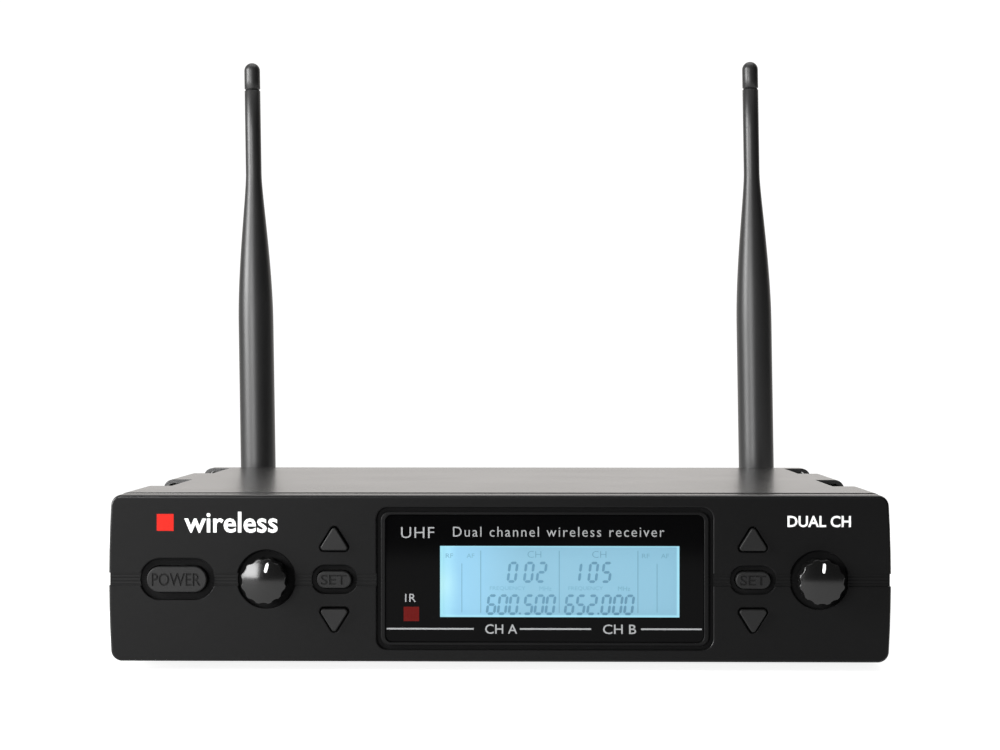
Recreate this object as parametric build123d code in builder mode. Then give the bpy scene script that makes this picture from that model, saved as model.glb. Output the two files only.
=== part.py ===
"""Two-channel wireless microphone receiver, half a rack wide, with two tilting antennas.

Millimetres, +Z up. The origin is on the table under the middle of the whole object, +X is to
the right as seen from the front and the front panel faces -Y.

Inside the case every place is given as (x, depth, height): depth runs back from the face of
the front panel and height runs up from the underside of the case.
"""
from build123d import *
import math
import os

# ---------------------------------------------------------------- driving dimensions
WIDTH = 212.0  # front panel, at its widest
HEIGHT = 45.2  # front panel
CASE_DEPTH = 160.0  # panel face to the outside of the rear wall
FOOT_H = 2.5
SHEET = 1.2  # steel sheet of cover and chassis

# clearances
SEAM = 0.4  # open line between panel and cover
SLIP = 0.12  # parts that slide into each other on assembly
RUN = 0.08  # radial clearance of a shaft in its bearing
KEY_GAP = 0.3  # round a key, and between moving curved faces
POT_GAP = 0.2  # round things that pass through a panel hole
SEAT_SLIP = 0.05  # screws in their seats and pins in their cheeks

# front panel moulding
PANEL_T = 3.0
RIM_T = 2.8
RIM_DEPTH = 8.0
TONGUE_DEPTH = 11.0
TONGUE_T = 1.5
SIDE_BOW = 0.75  # how far the sides swell at mid height
PANEL_CORNER_R = 3.0
PANEL_EDGE_R = 0.7
GROOVE_LOW = 20.5
GROOVE_HIGH = 24.0
GROOVE_DEPTH = 0.35
BOSS_W = 9.0
BOSS_TOP = 6.5
BOSS_BACK = 17.5
BOSS_SCREW_DEPTH = 13.0
BOSS_X = (-98.0, 12.4, 98.0)
POST_R = 2.5
POST_PLACES = ((-75.5, 10.5), (-75.5, 38.0), (77.0, 10.5), (77.0, 38.0))

# display window
WINDOW_X = 12.4
WINDOW_H = 22.6
LENS_W = 85.9
LENS_H = 34.2
LENS_T = 1.9
LENS_SEAT = 2.1  # depth of the seat that the lens is glued to
LENS_GAP = 0.15
LENS_CORNER_R = 1.6
BEZEL_W = 91.1
BEZEL_H = 38.5
BEZEL_CORNER_R = 3.0
CHANNEL_W = 1.15  # open channel that runs round the frame
CHANNEL_DEPTH = 0.9
FRAME_RISE = 0.2  # frame over the panel face
FRAME_EDGE_R = 0.3
RIM_EDGE_R = 0.4  # rounding where an opening meets the panel face
LCD_X = 16.5
LCD_H = 21.65
LCD_W = 65.0  # visible area
LCD_VIEW_H = 19.6
LCD_BORDER = 4.0
LCD_GLASS_T = 2.2
IR_X = -23.7
IR_H = 12.95
IR_W = 4.2
IR_VIEW_H = 3.9
LED_R = 1.5

# keys: outline, place and how they work
KEY_PROUD = 1.1
KEY_TRAVEL = 0.6
KEY_FLANGE = 1.0  # how far the retaining flange reaches past the cap, and its thickness
KEY_EDGE_R = 0.35
DISH_DEPTH = 0.8  # recess round a key
POWER_X = -87.3
POWER_W = 16.3
POWER_H = 7.0
POWER_DISH_W = 20.2
POWER_DISH_H = 11.0
SET_W = 9.4
SET_H = 4.6
SET_DISH_W = 12.4
SET_DISH_H = 7.5
ROW_H = 22.3  # height of the row of knobs and keys
CHANNEL_X = {"a": -44.6, "b": 68.7}
TRI_W = 8.5
TRI_H = 6.8
TRI_CORNER_R = 0.8
TRI_OFFSET = 11.3  # up and down keys, above and below the row

# volume knobs
KNOB_X = {"a": -63.1, "b": 86.6}
KNOB_R = 6.15
KNOB_PROUD = 6.5
KNOB_DOME = 0.8
KNOB_SUNK = 0.6
KNOB_FLUTES = 12
FLUTE_R = 2.4
FLUTE_DEPTH = 0.38
KNOB_DISH_R = 7.8
KNOB_DISH_DEPTH = 1.2
SHAFT_R = 3.0
SHAFT_FRONT = 4.0  # how far the pot shaft stands in front of the panel
BUSH_R = 3.6
POT_W = 11.0
POT_T = 5.0

# front circuit board and what stands on it
BOARD_T = 1.6
FRONT_BOARD_DEPTH = 10.0
FRONT_BOARD_W = 188.0
FRONT_BOARD_LOW = 7.0
FRONT_BOARD_HIGH = 41.5
SWITCH_W = 6.0
SWITCH_T = 3.4
PLUNGER_R = 1.7
PLUNGER_TOP = 1.4  # above the switch body
PLUNGER_IN = 1.0  # inside the switch body
STEM_R = 1.5

# screws
SCREW_R = 1.45
PILOT_R = 1.5
CLEAR_R = 1.65
PAN_R = 2.7
PAN_T = 1.8
FLAT_R = 2.8  # countersunk head, as thick as the sheet
SCREW_LEN = 4.5
CROSS_W = 0.7
CROSS_DEPTH = 0.7

# cover and chassis
COVER_RISE = 0.2  # cover top over panel top
BEND_R = 3.0
VENT_REACH = 9.0  # in from the side wall
VENT_DROP = 8.0  # down the side wall
VENT_LEN = 36.0
VENT_STARTS = (41.0, 117.0)
FLANGE_H = 9.0  # folded-up edge of the chassis floor
FLANGE_ENDS = (22.0, 14.0)
COVER_SCREW_H = 5.2
COVER_SCREW_DEPTHS = (34.0, 136.0)
FOOT_R = 6.0
FOOT_IN_X = 18.0
FOOT_IN_FRONT = 30.0
FOOT_IN_REAR = 20.0

# main board
STANDOFF_H = 6.0
STANDOFF_R = 3.0
MAIN_BOARD_W = 170.0
MAIN_BOARD_FRONT = 36.0
MAIN_BOARD_BACK_GAP = 2.5  # to the rear wall
MAIN_SCREW_X = 79.0
MAIN_SCREW_DEPTHS = (44.0, 128.0)
CAN_X = 62.0
CAN_W = 36.0
CAN_LEN = 44.0
CAN_H = 10.0
CAN_WALL = 0.5
CAN_DEPTH = 98.0
CHIP_W = 9.0
CHIP_T = 1.5
CHIP_PLACES = ((12.4, 74.0), (-12.0, 92.0), (36.0, 86.0), (12.0, 110.0))
CAPACITOR_R = 4.0
CAPACITOR_H = 11.5
CAPACITOR_PLACES = ((34.0, 64.0), (44.0, 64.0), (54.0, 64.0), (-16.0, 66.0), (-26.0, 66.0), (-36.0, 66.0))
REGULATOR_X = 30.0
REGULATOR_DEPTH = 112.0
REGULATOR_W = 10.0
REGULATOR_T = 4.5
REGULATOR_H = 15.0
SINK_W = 22.0
SINK_WEB = 1.6
SINK_FIN = 7.0
SINK_FINS = 6
SINK_H = 20.0
HEADER_W = 24.0
HEADER_T = 5.0
HEADER_H = 6.0
HEADER_PLACE_H = 28.0
MAIN_HEADER_DEPTH = 52.0
RIBBON_W = 20.0
RIBBON_T = 0.9
RIBBON_BEND_R = 11.0

# rear sockets
XLR_X = (-56.0, 16.0)
XLR_H = 23.6
XLR_FLANGE_W = 26.0
XLR_FLANGE_H = 31.0
XLR_FLANGE_T = 2.0
XLR_CUP_R = 11.6
XLR_CUP_LEN = 18.0
XLR_MOUTH_R = 8.3
XLR_MOUTH_LEN = 3.5
XLR_BORE_R = 8.1
XLR_FLOOR = 14.0
XLR_PIN_R = 1.2
XLR_PIN_LEN = 9.5
XLR_PIN_CIRCLE = 4.6
XLR_SCREW_X = 9.5
XLR_SCREW_H = 12.0
JACK_X = -20.0
JACK_W = 15.0
JACK_H = 14.0  # body, standing on the main board
JACK_LEN = 30.0
JACK_BUSH_R = 5.5
JACK_BUSH_OUT = 5.0
JACK_BORE_R = 3.25
JACK_BORE_LEN = 31.0
JACK_NUT_AF = 14.0
JACK_NUT_T = 2.5
DC_X = 58.0
DC_W = 9.0
DC_BODY_H = 11.0
DC_LEN = 14.0
DC_BORE_R = 3.2
DC_BORE_LEN = 9.5
DC_PIN_R = 1.05
DC_PIN_LEN = 8.5

# antennas, with the whips standing nearly upright
ANTENNA_X = 90.4
ANTENNA_H = 27.0
LEAN = 0.9  # degrees that both whips lean to -X at rest
SOCKET_HEX = 14.0
SOCKET_FLANGE_T = 2.0
SOCKET_R = 4.8
SOCKET_OUT = 11.0
SOCKET_IN = 11.0
SOCKET_BORE_R = 4.08
SOCKET_BORE_LEN = 8.0
SOCKET_PIN_R = 1.1
SOCKET_PIN_LEN = 5.0
SOCKET_NUT_AF = 13.0
SOCKET_NUT_T = 2.4
LUG_R = 1.0
LUG_OUT = 0.7  # how far a lug stands out of the barrel
LUG_AT = 7.0  # from the rear wall
RING_R = 7.2
RING_FRONT = 3.0  # from the rear wall
RING_LIP = 1.8
RING_FLUTES = 18
RING_FLUTE_R = 0.8
LOCK_TURN = 90.0  # degrees from locked to free
LOCK_SPARE = 16.0  # degrees that the groove runs on past the lug
SHOULDER_R = 5.7
SHOULDER_T = 2.0
NECK_R = 4.0
NECK_LEN = 2.9
SLEEVE_LEN = 6.0
SLEEVE_BORE_R = 2.2
ELBOW_T = 2.0
BARREL_R = 6.3
TONGUE_W = 5.6
CHEEK_SLIP = 0.1
CHEEK_EDGE_R = 1.8
SWING_GAP = 0.4
PIVOT_R = 1.5
TIP_Z = 193.8  # top of the whips over the table
SLIM_R = 2.84
CAP_LEN = 10.1
CAP_GROOVE = 0.35
CAP_GROOVE_H = 0.6
SLIM_LEN = 40.0  # straight slim end of the whip, cap included
TAPER_LEN = 55.0  # from the slim end down to the full barrel
EASE_SLIM = 8.3  # how gently the taper leaves the slim end
EASE_BARREL = 22.4  # how gently it runs into the barrel
CABLE_R = 0.9  # coaxial cable inside the case
CABLE_DROP_DEPTH = 128.0  # where the cable starts to slope down to the tuner

# ---------------------------------------------------------------- worked-out places
SOCKET_END = CASE_DEPTH + SOCKET_OUT
SHOULDER_FRONT = SOCKET_END + RUN
SHOULDER_BACK = SHOULDER_FRONT + SHOULDER_T
RING_BACK = SHOULDER_BACK + KEY_GAP + RING_LIP
ELBOW_FRONT = SHOULDER_BACK + NECK_LEN
ELBOW_BACK = ELBOW_FRONT + ELBOW_T
PIVOT_DEPTH = ELBOW_BACK + SWING_GAP + BARREL_R
DEPTH_OVERALL = KNOB_PROUD + PIVOT_DEPTH + BARREL_R
FACE_Y = KNOB_PROUD - DEPTH_OVERALL / 2  # panel face in the object's frame

COVER_HALF = WIDTH / 2 - SIDE_BOW
COVER_TOP = HEIGHT + COVER_RISE
COVER_FRONT = RIM_DEPTH + SEAM
INSIDE_HALF = COVER_HALF - SHEET - SLIP
INSIDE_TOP = COVER_TOP - SHEET - SLIP
BOARD_BOTTOM = SHEET + STANDOFF_H
BOARD_TOP = BOARD_BOTTOM + BOARD_T
MAIN_BOARD_BACK = CASE_DEPTH - SHEET - MAIN_BOARD_BACK_GAP
FRONT_BOARD_BACK = FRONT_BOARD_DEPTH + BOARD_T
SWITCH_FRONT = FRONT_BOARD_DEPTH - SWITCH_T
PLUNGER_FRONT = SWITCH_FRONT - PLUNGER_TOP
KEY_FLANGE_BACK = PANEL_T + KEY_FLANGE
JACK_AXIS_H = BOARD_TOP + JACK_H / 2
DC_AXIS_H = BOARD_TOP + DC_BODY_H / 2
MAIN_SCREWS = [(x, d) for d in MAIN_SCREW_DEPTHS for x in (-MAIN_SCREW_X, 0, MAIN_SCREW_X)]
KEY_PLACES = {"power": (POWER_X, ROW_H)}
for channel, key_x in CHANNEL_X.items():
    KEY_PLACES["up_" + channel] = (key_x, ROW_H + TRI_OFFSET)
    KEY_PLACES["set_" + channel] = (key_x, ROW_H)
    KEY_PLACES["down_" + channel] = (key_x, ROW_H - TRI_OFFSET)


def facing(depth):
    """Upright plane at a depth behind the panel face; its normal points to the front."""
    return Plane(origin=(0, FACE_Y + depth, FOOT_H), x_dir=(1, 0, 0), z_dir=(0, -1, 0))


def level(height):
    """Level plane at a height over the underside of the case; its local Y is the depth."""
    return Plane(origin=(0, FACE_Y, FOOT_H + height), x_dir=(1, 0, 0), z_dir=(0, 0, 1))


def aside(x):
    """Upright plane across X; local X is the depth, local Y the height, the normal is +X."""
    return Plane(origin=(x, FACE_Y, FOOT_H), x_dir=(0, 1, 0), z_dir=(1, 0, 0))


def at(x, depth, height):
    """Point of the object's frame at a place inside the case."""
    return (x, FACE_Y + depth, FOOT_H + height)


def keep(piece, name):
    """Label a finished piece and write it to its own file."""
    piece.part.label = name
    export_step(piece.part, f"parts/{name}.step")


os.makedirs("parts", exist_ok=True)


# ---------------------------------------------------------------- outlines used more than once
def panel_outline(inset=0.0):
    """Face of the front panel: flat top and bottom, sides that swell a little."""
    half = WIDTH / 2
    with BuildSketch(Plane.XY) as outline:
        with BuildLine():
            Line((-half + SIDE_BOW, 0), (half - SIDE_BOW, 0))
            ThreePointArc((half - SIDE_BOW, 0), (half, HEIGHT / 2), (half - SIDE_BOW, HEIGHT))
            Line((half - SIDE_BOW, HEIGHT), (-half + SIDE_BOW, HEIGHT))
            ThreePointArc((-half + SIDE_BOW, HEIGHT), (-half, HEIGHT / 2), (-half + SIDE_BOW, 0))
        make_face()
        fillet(outline.vertices(), PANEL_CORNER_R)
        if inset:
            offset(amount=-inset)
    return outline.sketch


def triangle(points_up, grow=0.0):
    """Rounded triangle of an up or down key, centred on its own box."""
    tip = TRI_H / 2 if points_up else -TRI_H / 2
    with BuildSketch(Plane.XY) as outline:
        Polygon((-TRI_W / 2, -tip), (TRI_W / 2, -tip), (0, tip), align=None)
        fillet(outline.vertices(), TRI_CORNER_R)
        if grow:
            offset(amount=grow)
    return outline.sketch


def key_outline(name, grow=0.0):
    """Outline of any key cap, widened all round by grow."""
    if name == "power":
        with BuildSketch(Plane.XY) as outline:
            SlotOverall(POWER_W + 2 * grow, POWER_H + 2 * grow)
        return outline.sketch
    if name.startswith("set"):
        with BuildSketch(Plane.XY) as outline:
            SlotOverall(SET_W + 2 * grow, SET_H + 2 * grow)
        return outline.sketch
    return triangle(name.startswith("up"), grow)


# ---------------------------------------------------------------- front panel
# One plastic moulding: a plate with a rim, a tongue that goes inside the metal case, bosses
# for the screws, the frame of the display and the dished openings of keys and knobs.
with BuildPart() as front_panel:
    with BuildSketch(facing(RIM_DEPTH)):
        add(panel_outline())
    extrude(amount=RIM_DEPTH)
    fillet(front_panel.faces().sort_by(Axis.Y)[0].edges(), PANEL_EDGE_R)
    with BuildSketch(facing(RIM_DEPTH)):
        add(panel_outline(RIM_T))
    extrude(amount=RIM_DEPTH - PANEL_T, mode=Mode.SUBTRACT)
    with BuildSketch(facing(TONGUE_DEPTH)) as tongue:
        with Locations((0, (SHEET + INSIDE_TOP) / 2)):
            Rectangle(2 * INSIDE_HALF, INSIDE_TOP - SHEET)
        fillet(tongue.vertices(), BEND_R - SHEET)
        offset(amount=-TONGUE_T, mode=Mode.SUBTRACT)
    extrude(amount=TONGUE_DEPTH - PANEL_T)
    with BuildSketch(facing(BOSS_BACK)):
        with Locations(*[(x, (SHEET + BOSS_TOP) / 2) for x in BOSS_X]):
            Rectangle(BOSS_W, BOSS_TOP - SHEET)
    extrude(amount=BOSS_BACK - PANEL_T)
    with BuildSketch(facing(FRONT_BOARD_DEPTH)):
        with Locations(*POST_PLACES):
            Circle(POST_R)
    extrude(amount=FRONT_BOARD_DEPTH - PANEL_T)
    with BuildSketch(facing(FRONT_BOARD_DEPTH)):
        with Locations(*POST_PLACES):
            Circle(PILOT_R)
    extrude(amount=SCREW_LEN, mode=Mode.SUBTRACT)
    with BuildSketch(level(SHEET)):
        with Locations(*[(x, BOSS_SCREW_DEPTH) for x in BOSS_X]):
            Circle(PILOT_R)
    extrude(amount=SCREW_LEN, mode=Mode.SUBTRACT)
    # display channel, dished openings and key holes, their rims rounded together
    with BuildSketch(facing(CHANNEL_DEPTH)):
        with Locations((WINDOW_X, WINDOW_H)):
            RectangleRounded(BEZEL_W, BEZEL_H, BEZEL_CORNER_R)
    extrude(amount=CHANNEL_DEPTH, mode=Mode.SUBTRACT)
    with BuildSketch(facing(DISH_DEPTH)):
        with Locations((POWER_X, ROW_H)):
            SlotOverall(POWER_DISH_W, POWER_DISH_H)
        with Locations(*[(x, ROW_H) for x in CHANNEL_X.values()]):
            SlotOverall(SET_DISH_W, SET_DISH_H)
    extrude(amount=DISH_DEPTH, mode=Mode.SUBTRACT)
    with BuildSketch(facing(KNOB_DISH_DEPTH)):
        with Locations(*[(x, ROW_H) for x in KNOB_X.values()]):
            Circle(KNOB_DISH_R)
    extrude(amount=KNOB_DISH_DEPTH, mode=Mode.SUBTRACT)
    with BuildSketch(facing(PANEL_T)):
        for name, place in KEY_PLACES.items():
            with Locations(place):
                add(key_outline(name, KEY_GAP))
        with Locations(*[(x, ROW_H) for x in KNOB_X.values()]):
            Circle(BUSH_R + POT_GAP)
    extrude(amount=PANEL_T, mode=Mode.SUBTRACT)
    face = front_panel.faces().sort_by(Axis.Y)[0]
    fillet([edge for wire in face.inner_wires() for edge in wire.edges()], RIM_EDGE_R)
    # groove round the middle, as deep at the two sides as on the face
    with BuildSketch(facing(GROOVE_DEPTH)):
        with Locations((0, (GROOVE_LOW + GROOVE_HIGH) / 2)):
            Rectangle(WIDTH + 1, GROOVE_HIGH - GROOVE_LOW)
    extrude(amount=GROOVE_DEPTH + 1, mode=Mode.SUBTRACT)
    for side in (-1, 1):
        with BuildSketch(facing(RIM_DEPTH)):
            with Locations((side * (WIDTH / 2 - GROOVE_DEPTH + 1), (GROOVE_LOW + GROOVE_HIGH) / 2)):
                Rectangle(2, GROOVE_HIGH - GROOVE_LOW)
        extrude(amount=RIM_DEPTH, mode=Mode.SUBTRACT)
    # frame of the display: a low land inside the channel, with the seat of the lens in it
    with BuildSketch(facing(CHANNEL_DEPTH)):
        with Locations((WINDOW_X, WINDOW_H)):
            land_w = BEZEL_W - 2 * CHANNEL_W
            land_h = BEZEL_H - 2 * CHANNEL_W
            RectangleRounded(land_w, land_h, BEZEL_CORNER_R - CHANNEL_W / 2)
    extrude(amount=CHANNEL_DEPTH + FRAME_RISE)
    with BuildSketch(facing(LENS_SEAT)):
        with Locations((WINDOW_X, WINDOW_H)):
            RectangleRounded(LENS_W + 2 * LENS_GAP, LENS_H + 2 * LENS_GAP, LENS_CORNER_R + LENS_GAP)
    extrude(amount=LENS_SEAT + FRAME_RISE, mode=Mode.SUBTRACT)
    fillet(front_panel.faces().sort_by(Axis.Y)[0].edges(), FRAME_EDGE_R)
    with BuildSketch(facing(PANEL_T)):
        with Locations((LCD_X, LCD_H)):
            Rectangle(LCD_W + LCD_BORDER / 2, LCD_VIEW_H + LCD_BORDER / 2)
        with Locations((IR_X, IR_H)):
            Rectangle(IR_W, IR_VIEW_H)
    extrude(amount=PANEL_T, mode=Mode.SUBTRACT)
keep(front_panel, "front_panel")


# ---------------------------------------------------------------- display and infrared window
# A dark lens glued into the frame, with the liquid-crystal cell and its light box behind it.
with BuildPart() as display_lens:
    with BuildSketch(facing(LENS_SEAT)):
        with Locations((WINDOW_X, WINDOW_H)):
            RectangleRounded(LENS_W, LENS_H, LENS_CORNER_R)
        with Locations((IR_X, IR_H)):
            Rectangle(IR_W, IR_VIEW_H, mode=Mode.SUBTRACT)
    extrude(amount=LENS_T)
keep(display_lens, "display_lens")

with BuildPart() as ir_window:
    with BuildSketch(facing(LENS_SEAT)):
        with Locations((IR_X, IR_H)):
            Rectangle(IR_W, IR_VIEW_H)
    extrude(amount=LENS_T)
keep(ir_window, "ir_window")

with BuildPart() as lcd_glass:
    with BuildSketch(facing(PANEL_T + LCD_GLASS_T)):
        with Locations((LCD_X, LCD_H)):
            Rectangle(LCD_W + 2 * LCD_BORDER, LCD_VIEW_H + 2 * LCD_BORDER)
    extrude(amount=LCD_GLASS_T)
keep(lcd_glass, "lcd_glass")

with BuildPart() as lcd_backlight:
    with BuildSketch(facing(FRONT_BOARD_DEPTH)):
        with Locations((LCD_X, LCD_H)):
            Rectangle(LCD_W + 2 * LCD_BORDER, LCD_VIEW_H + 2 * LCD_BORDER)
    extrude(amount=FRONT_BOARD_DEPTH - PANEL_T - LCD_GLASS_T)
    chamfer(lcd_backlight.edges().filter_by(Axis.Y), 1.0)
keep(lcd_backlight, "lcd_backlight")

with BuildPart() as ir_emitter:
    with BuildSketch(facing(FRONT_BOARD_DEPTH)):
        with Locations((IR_X, IR_H)):
            Circle(LED_R + 0.4)
    extrude(amount=1.0)
    with BuildSketch(facing(FRONT_BOARD_DEPTH)):
        with Locations((IR_X, IR_H)):
            Circle(LED_R)
    extrude(amount=FRONT_BOARD_DEPTH - PANEL_T)
    fillet(ir_emitter.faces().sort_by(Axis.Y)[0].edges(), LED_R - 0.3)
keep(ir_emitter, "ir_emitter")

# ---------------------------------------------------------------- front circuit board
with BuildPart() as front_board:
    with BuildSketch(facing(FRONT_BOARD_BACK)):
        with Locations((0, (FRONT_BOARD_LOW + FRONT_BOARD_HIGH) / 2)):
            RectangleRounded(FRONT_BOARD_W, FRONT_BOARD_HIGH - FRONT_BOARD_LOW, 1.0)
        with Locations(*POST_PLACES):
            Circle(CLEAR_R, mode=Mode.SUBTRACT)
    extrude(amount=BOARD_T)
keep(front_board, "front_board")

with BuildPart() as switch_bodies:
    with BuildSketch(facing(FRONT_BOARD_DEPTH)):
        with Locations(*KEY_PLACES.values()):
            Rectangle(SWITCH_W, SWITCH_W)
    extrude(amount=SWITCH_T)
    with BuildSketch(facing(SWITCH_FRONT + PLUNGER_IN + KEY_TRAVEL + 0.2)):
        with Locations(*KEY_PLACES.values()):
            Circle(PLUNGER_R + RUN)
    extrude(amount=PLUNGER_IN + KEY_TRAVEL + 0.2, mode=Mode.SUBTRACT)
keep(switch_bodies, "switch_bodies")

with BuildPart() as volume_pots:
    with BuildSketch(facing(FRONT_BOARD_DEPTH)):
        with Locations(*[(x, ROW_H) for x in KNOB_X.values()]):
            Rectangle(POT_W, POT_W)
    extrude(amount=POT_T)
    with BuildSketch(facing(FRONT_BOARD_DEPTH)):
        with Locations(*[(x, ROW_H) for x in KNOB_X.values()]):
            Circle(BUSH_R)
    extrude(amount=FRONT_BOARD_DEPTH - KNOB_DISH_DEPTH - KEY_GAP)
    with BuildSketch(facing(FRONT_BOARD_DEPTH - 1.0)):
        with Locations(*[(x, ROW_H) for x in KNOB_X.values()]):
            Circle(SHAFT_R + RUN)
    extrude(amount=FRONT_BOARD_DEPTH, mode=Mode.SUBTRACT)
keep(volume_pots, "volume_pots")


# ---------------------------------------------------------------- keys
# Each cap slides in its own opening, held in by a flange behind the panel, and its stem rests
# on the plunger of a tact switch, whose dome pushes it back out.
def make_key(name):
    """Key cap and switch plunger of one key."""
    place = KEY_PLACES[name]
    cap_name, plunger_name = f"{name}_key", f"{name}_plunger"
    with BuildPart() as cap:
        with BuildSketch(facing(PANEL_T)):
            with Locations(place):
                add(key_outline(name))
        extrude(amount=PANEL_T + KEY_PROUD)
        fillet(cap.faces().sort_by(Axis.Y)[0].edges(), KEY_EDGE_R)
        with BuildSketch(facing(KEY_FLANGE_BACK)):
            with Locations(place):
                add(key_outline(name, KEY_FLANGE))
        extrude(amount=KEY_FLANGE)
        with BuildSketch(facing(PLUNGER_FRONT)):
            with Locations(place):
                Circle(STEM_R)
        extrude(amount=PLUNGER_FRONT - KEY_FLANGE_BACK)
    keep(cap, cap_name)
    with BuildPart() as plunger:
        with BuildSketch(facing(SWITCH_FRONT + PLUNGER_IN)):
            with Locations(place):
                Circle(PLUNGER_R)
        extrude(amount=PLUNGER_TOP + PLUNGER_IN)
    keep(plunger, plunger_name)


for key_name in KEY_PLACES:
    make_key(key_name)


# ---------------------------------------------------------------- volume knobs
# A domed knob with scalloped sides, pushed on to the round shaft of its potentiometer.
def make_knob(channel):
    """Knob and potentiometer shaft of one channel."""
    place = (KNOB_X[channel], ROW_H)
    dome_r = (KNOB_R ** 2 + KNOB_DOME ** 2) / (2 * KNOB_DOME)
    rim_depth = KNOB_DOME - KNOB_PROUD
    with BuildPart() as knob:
        with BuildSketch(facing(KNOB_SUNK)):
            with Locations(place):
                Circle(KNOB_R)
                with PolarLocations(KNOB_R + FLUTE_R - FLUTE_DEPTH, KNOB_FLUTES):
                    Circle(FLUTE_R, mode=Mode.SUBTRACT)
        extrude(amount=KNOB_SUNK + KNOB_PROUD)
        with BuildSketch(aside(KNOB_X[channel])):
            with BuildLine():
                Polyline((-KNOB_PROUD, ROW_H), (-KNOB_PROUD - 1, ROW_H),
                         (-KNOB_PROUD - 1, ROW_H + KNOB_R + 1), (rim_depth, ROW_H + KNOB_R + 1),
                         (rim_depth, ROW_H + KNOB_R))
                RadiusArc((rim_depth, ROW_H + KNOB_R), (-KNOB_PROUD, ROW_H), -dome_r)
            make_face()
        revolve(axis=Axis(at(KNOB_X[channel], 0, ROW_H), (0, 1, 0)), mode=Mode.SUBTRACT)
        with BuildSketch(facing(KNOB_SUNK)):
            with Locations(place):
                Circle(SHAFT_R)
        extrude(amount=KNOB_SUNK + SHAFT_FRONT, mode=Mode.SUBTRACT)
    keep(knob, f"volume_knob_{channel}")
    with BuildPart() as shaft:
        with BuildSketch(facing(FRONT_BOARD_DEPTH - 1.0 - KEY_GAP)):
            with Locations(place):
                Circle(SHAFT_R)
        extrude(amount=FRONT_BOARD_DEPTH - 1.0 - KEY_GAP + SHAFT_FRONT)
    keep(shaft, f"volume_shaft_{channel}")


for channel in KNOB_X:
    make_knob(channel)


# ---------------------------------------------------------------- screws
def cross_recess(plane, places):
    """Sketch of the cross recesses of screw heads at the given places of a plane."""
    with BuildSketch(plane) as slots:
        with Locations(*places):
            Rectangle(2 * PILOT_R, CROSS_W)
            Rectangle(CROSS_W, 2 * PILOT_R)
    return slots.sketch


# Pan-head screws: four hold the front board to the panel posts, six hold the main board.
with BuildPart() as board_screws:
    with BuildSketch(facing(FRONT_BOARD_BACK + PAN_T)):
        with Locations(*POST_PLACES):
            Circle(PAN_R)
    extrude(amount=PAN_T)
    with BuildSketch(facing(FRONT_BOARD_BACK)):
        with Locations(*POST_PLACES):
            Circle(SCREW_R)
    extrude(amount=BOARD_T + SCREW_LEN - KEY_GAP)
    extrude(cross_recess(facing(FRONT_BOARD_BACK + PAN_T), POST_PLACES), CROSS_DEPTH, mode=Mode.SUBTRACT)
    with BuildSketch(level(BOARD_TOP)):
        with Locations(*MAIN_SCREWS):
            Circle(PAN_R)
    extrude(amount=PAN_T)
    with BuildSketch(level(BOARD_TOP)):
        with Locations(*MAIN_SCREWS):
            Circle(SCREW_R)
    extrude(amount=-BOARD_T - SCREW_LEN)
    extrude(cross_recess(level(BOARD_TOP + PAN_T), MAIN_SCREWS), -CROSS_DEPTH, mode=Mode.SUBTRACT)
keep(board_screws, "board_screws")


def flat_head_screw(plane):
    """Countersunk screw that goes in along the plane's normal, its head flush with the plane."""
    with BuildPart() as screw:
        with BuildSketch(plane):
            Circle(FLAT_R - SEAT_SLIP)
        with BuildSketch(plane.offset(SHEET)):
            Circle(CLEAR_R - SEAT_SLIP)
        loft()
        with BuildSketch(plane.offset(SHEET)):
            Circle(SCREW_R)
        extrude(amount=SCREW_LEN - KEY_GAP)
        extrude(cross_recess(plane, [(0, 0)]), CROSS_DEPTH, mode=Mode.SUBTRACT)
    return screw.part


def flat_head_seat(plane):
    """Cutter for the countersunk hole of such a screw, through one sheet."""
    with BuildPart() as seat:
        with BuildSketch(plane):
            Circle(FLAT_R)
        with BuildSketch(plane.offset(SHEET)):
            Circle(CLEAR_R)
        loft()
    return seat.part


# Countersunk screws: two on each side hold the cover, three underneath hold the front panel.
cover_screw_planes = []
for side in (-1, 1):
    for depth in COVER_SCREW_DEPTHS:
        head = (side * COVER_HALF, FACE_Y + depth, FOOT_H + COVER_SCREW_H)
        cover_screw_planes.append(Plane(origin=head, x_dir=(0, 1, 0), z_dir=(-side, 0, 0)))
floor_screw_planes = []
for x in BOSS_X:
    head = (x, FACE_Y + BOSS_SCREW_DEPTH, FOOT_H)
    floor_screw_planes.append(Plane(origin=head, x_dir=(1, 0, 0), z_dir=(0, 0, 1)))
screw_solids = [flat_head_screw(plane) for plane in cover_screw_planes + floor_screw_planes]
cover_seats = [flat_head_seat(plane) for plane in cover_screw_planes]
floor_seats = [flat_head_seat(plane) for plane in floor_screw_planes]

with BuildPart() as case_screws:
    add(screw_solids)
keep(case_screws, "case_screws")

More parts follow.
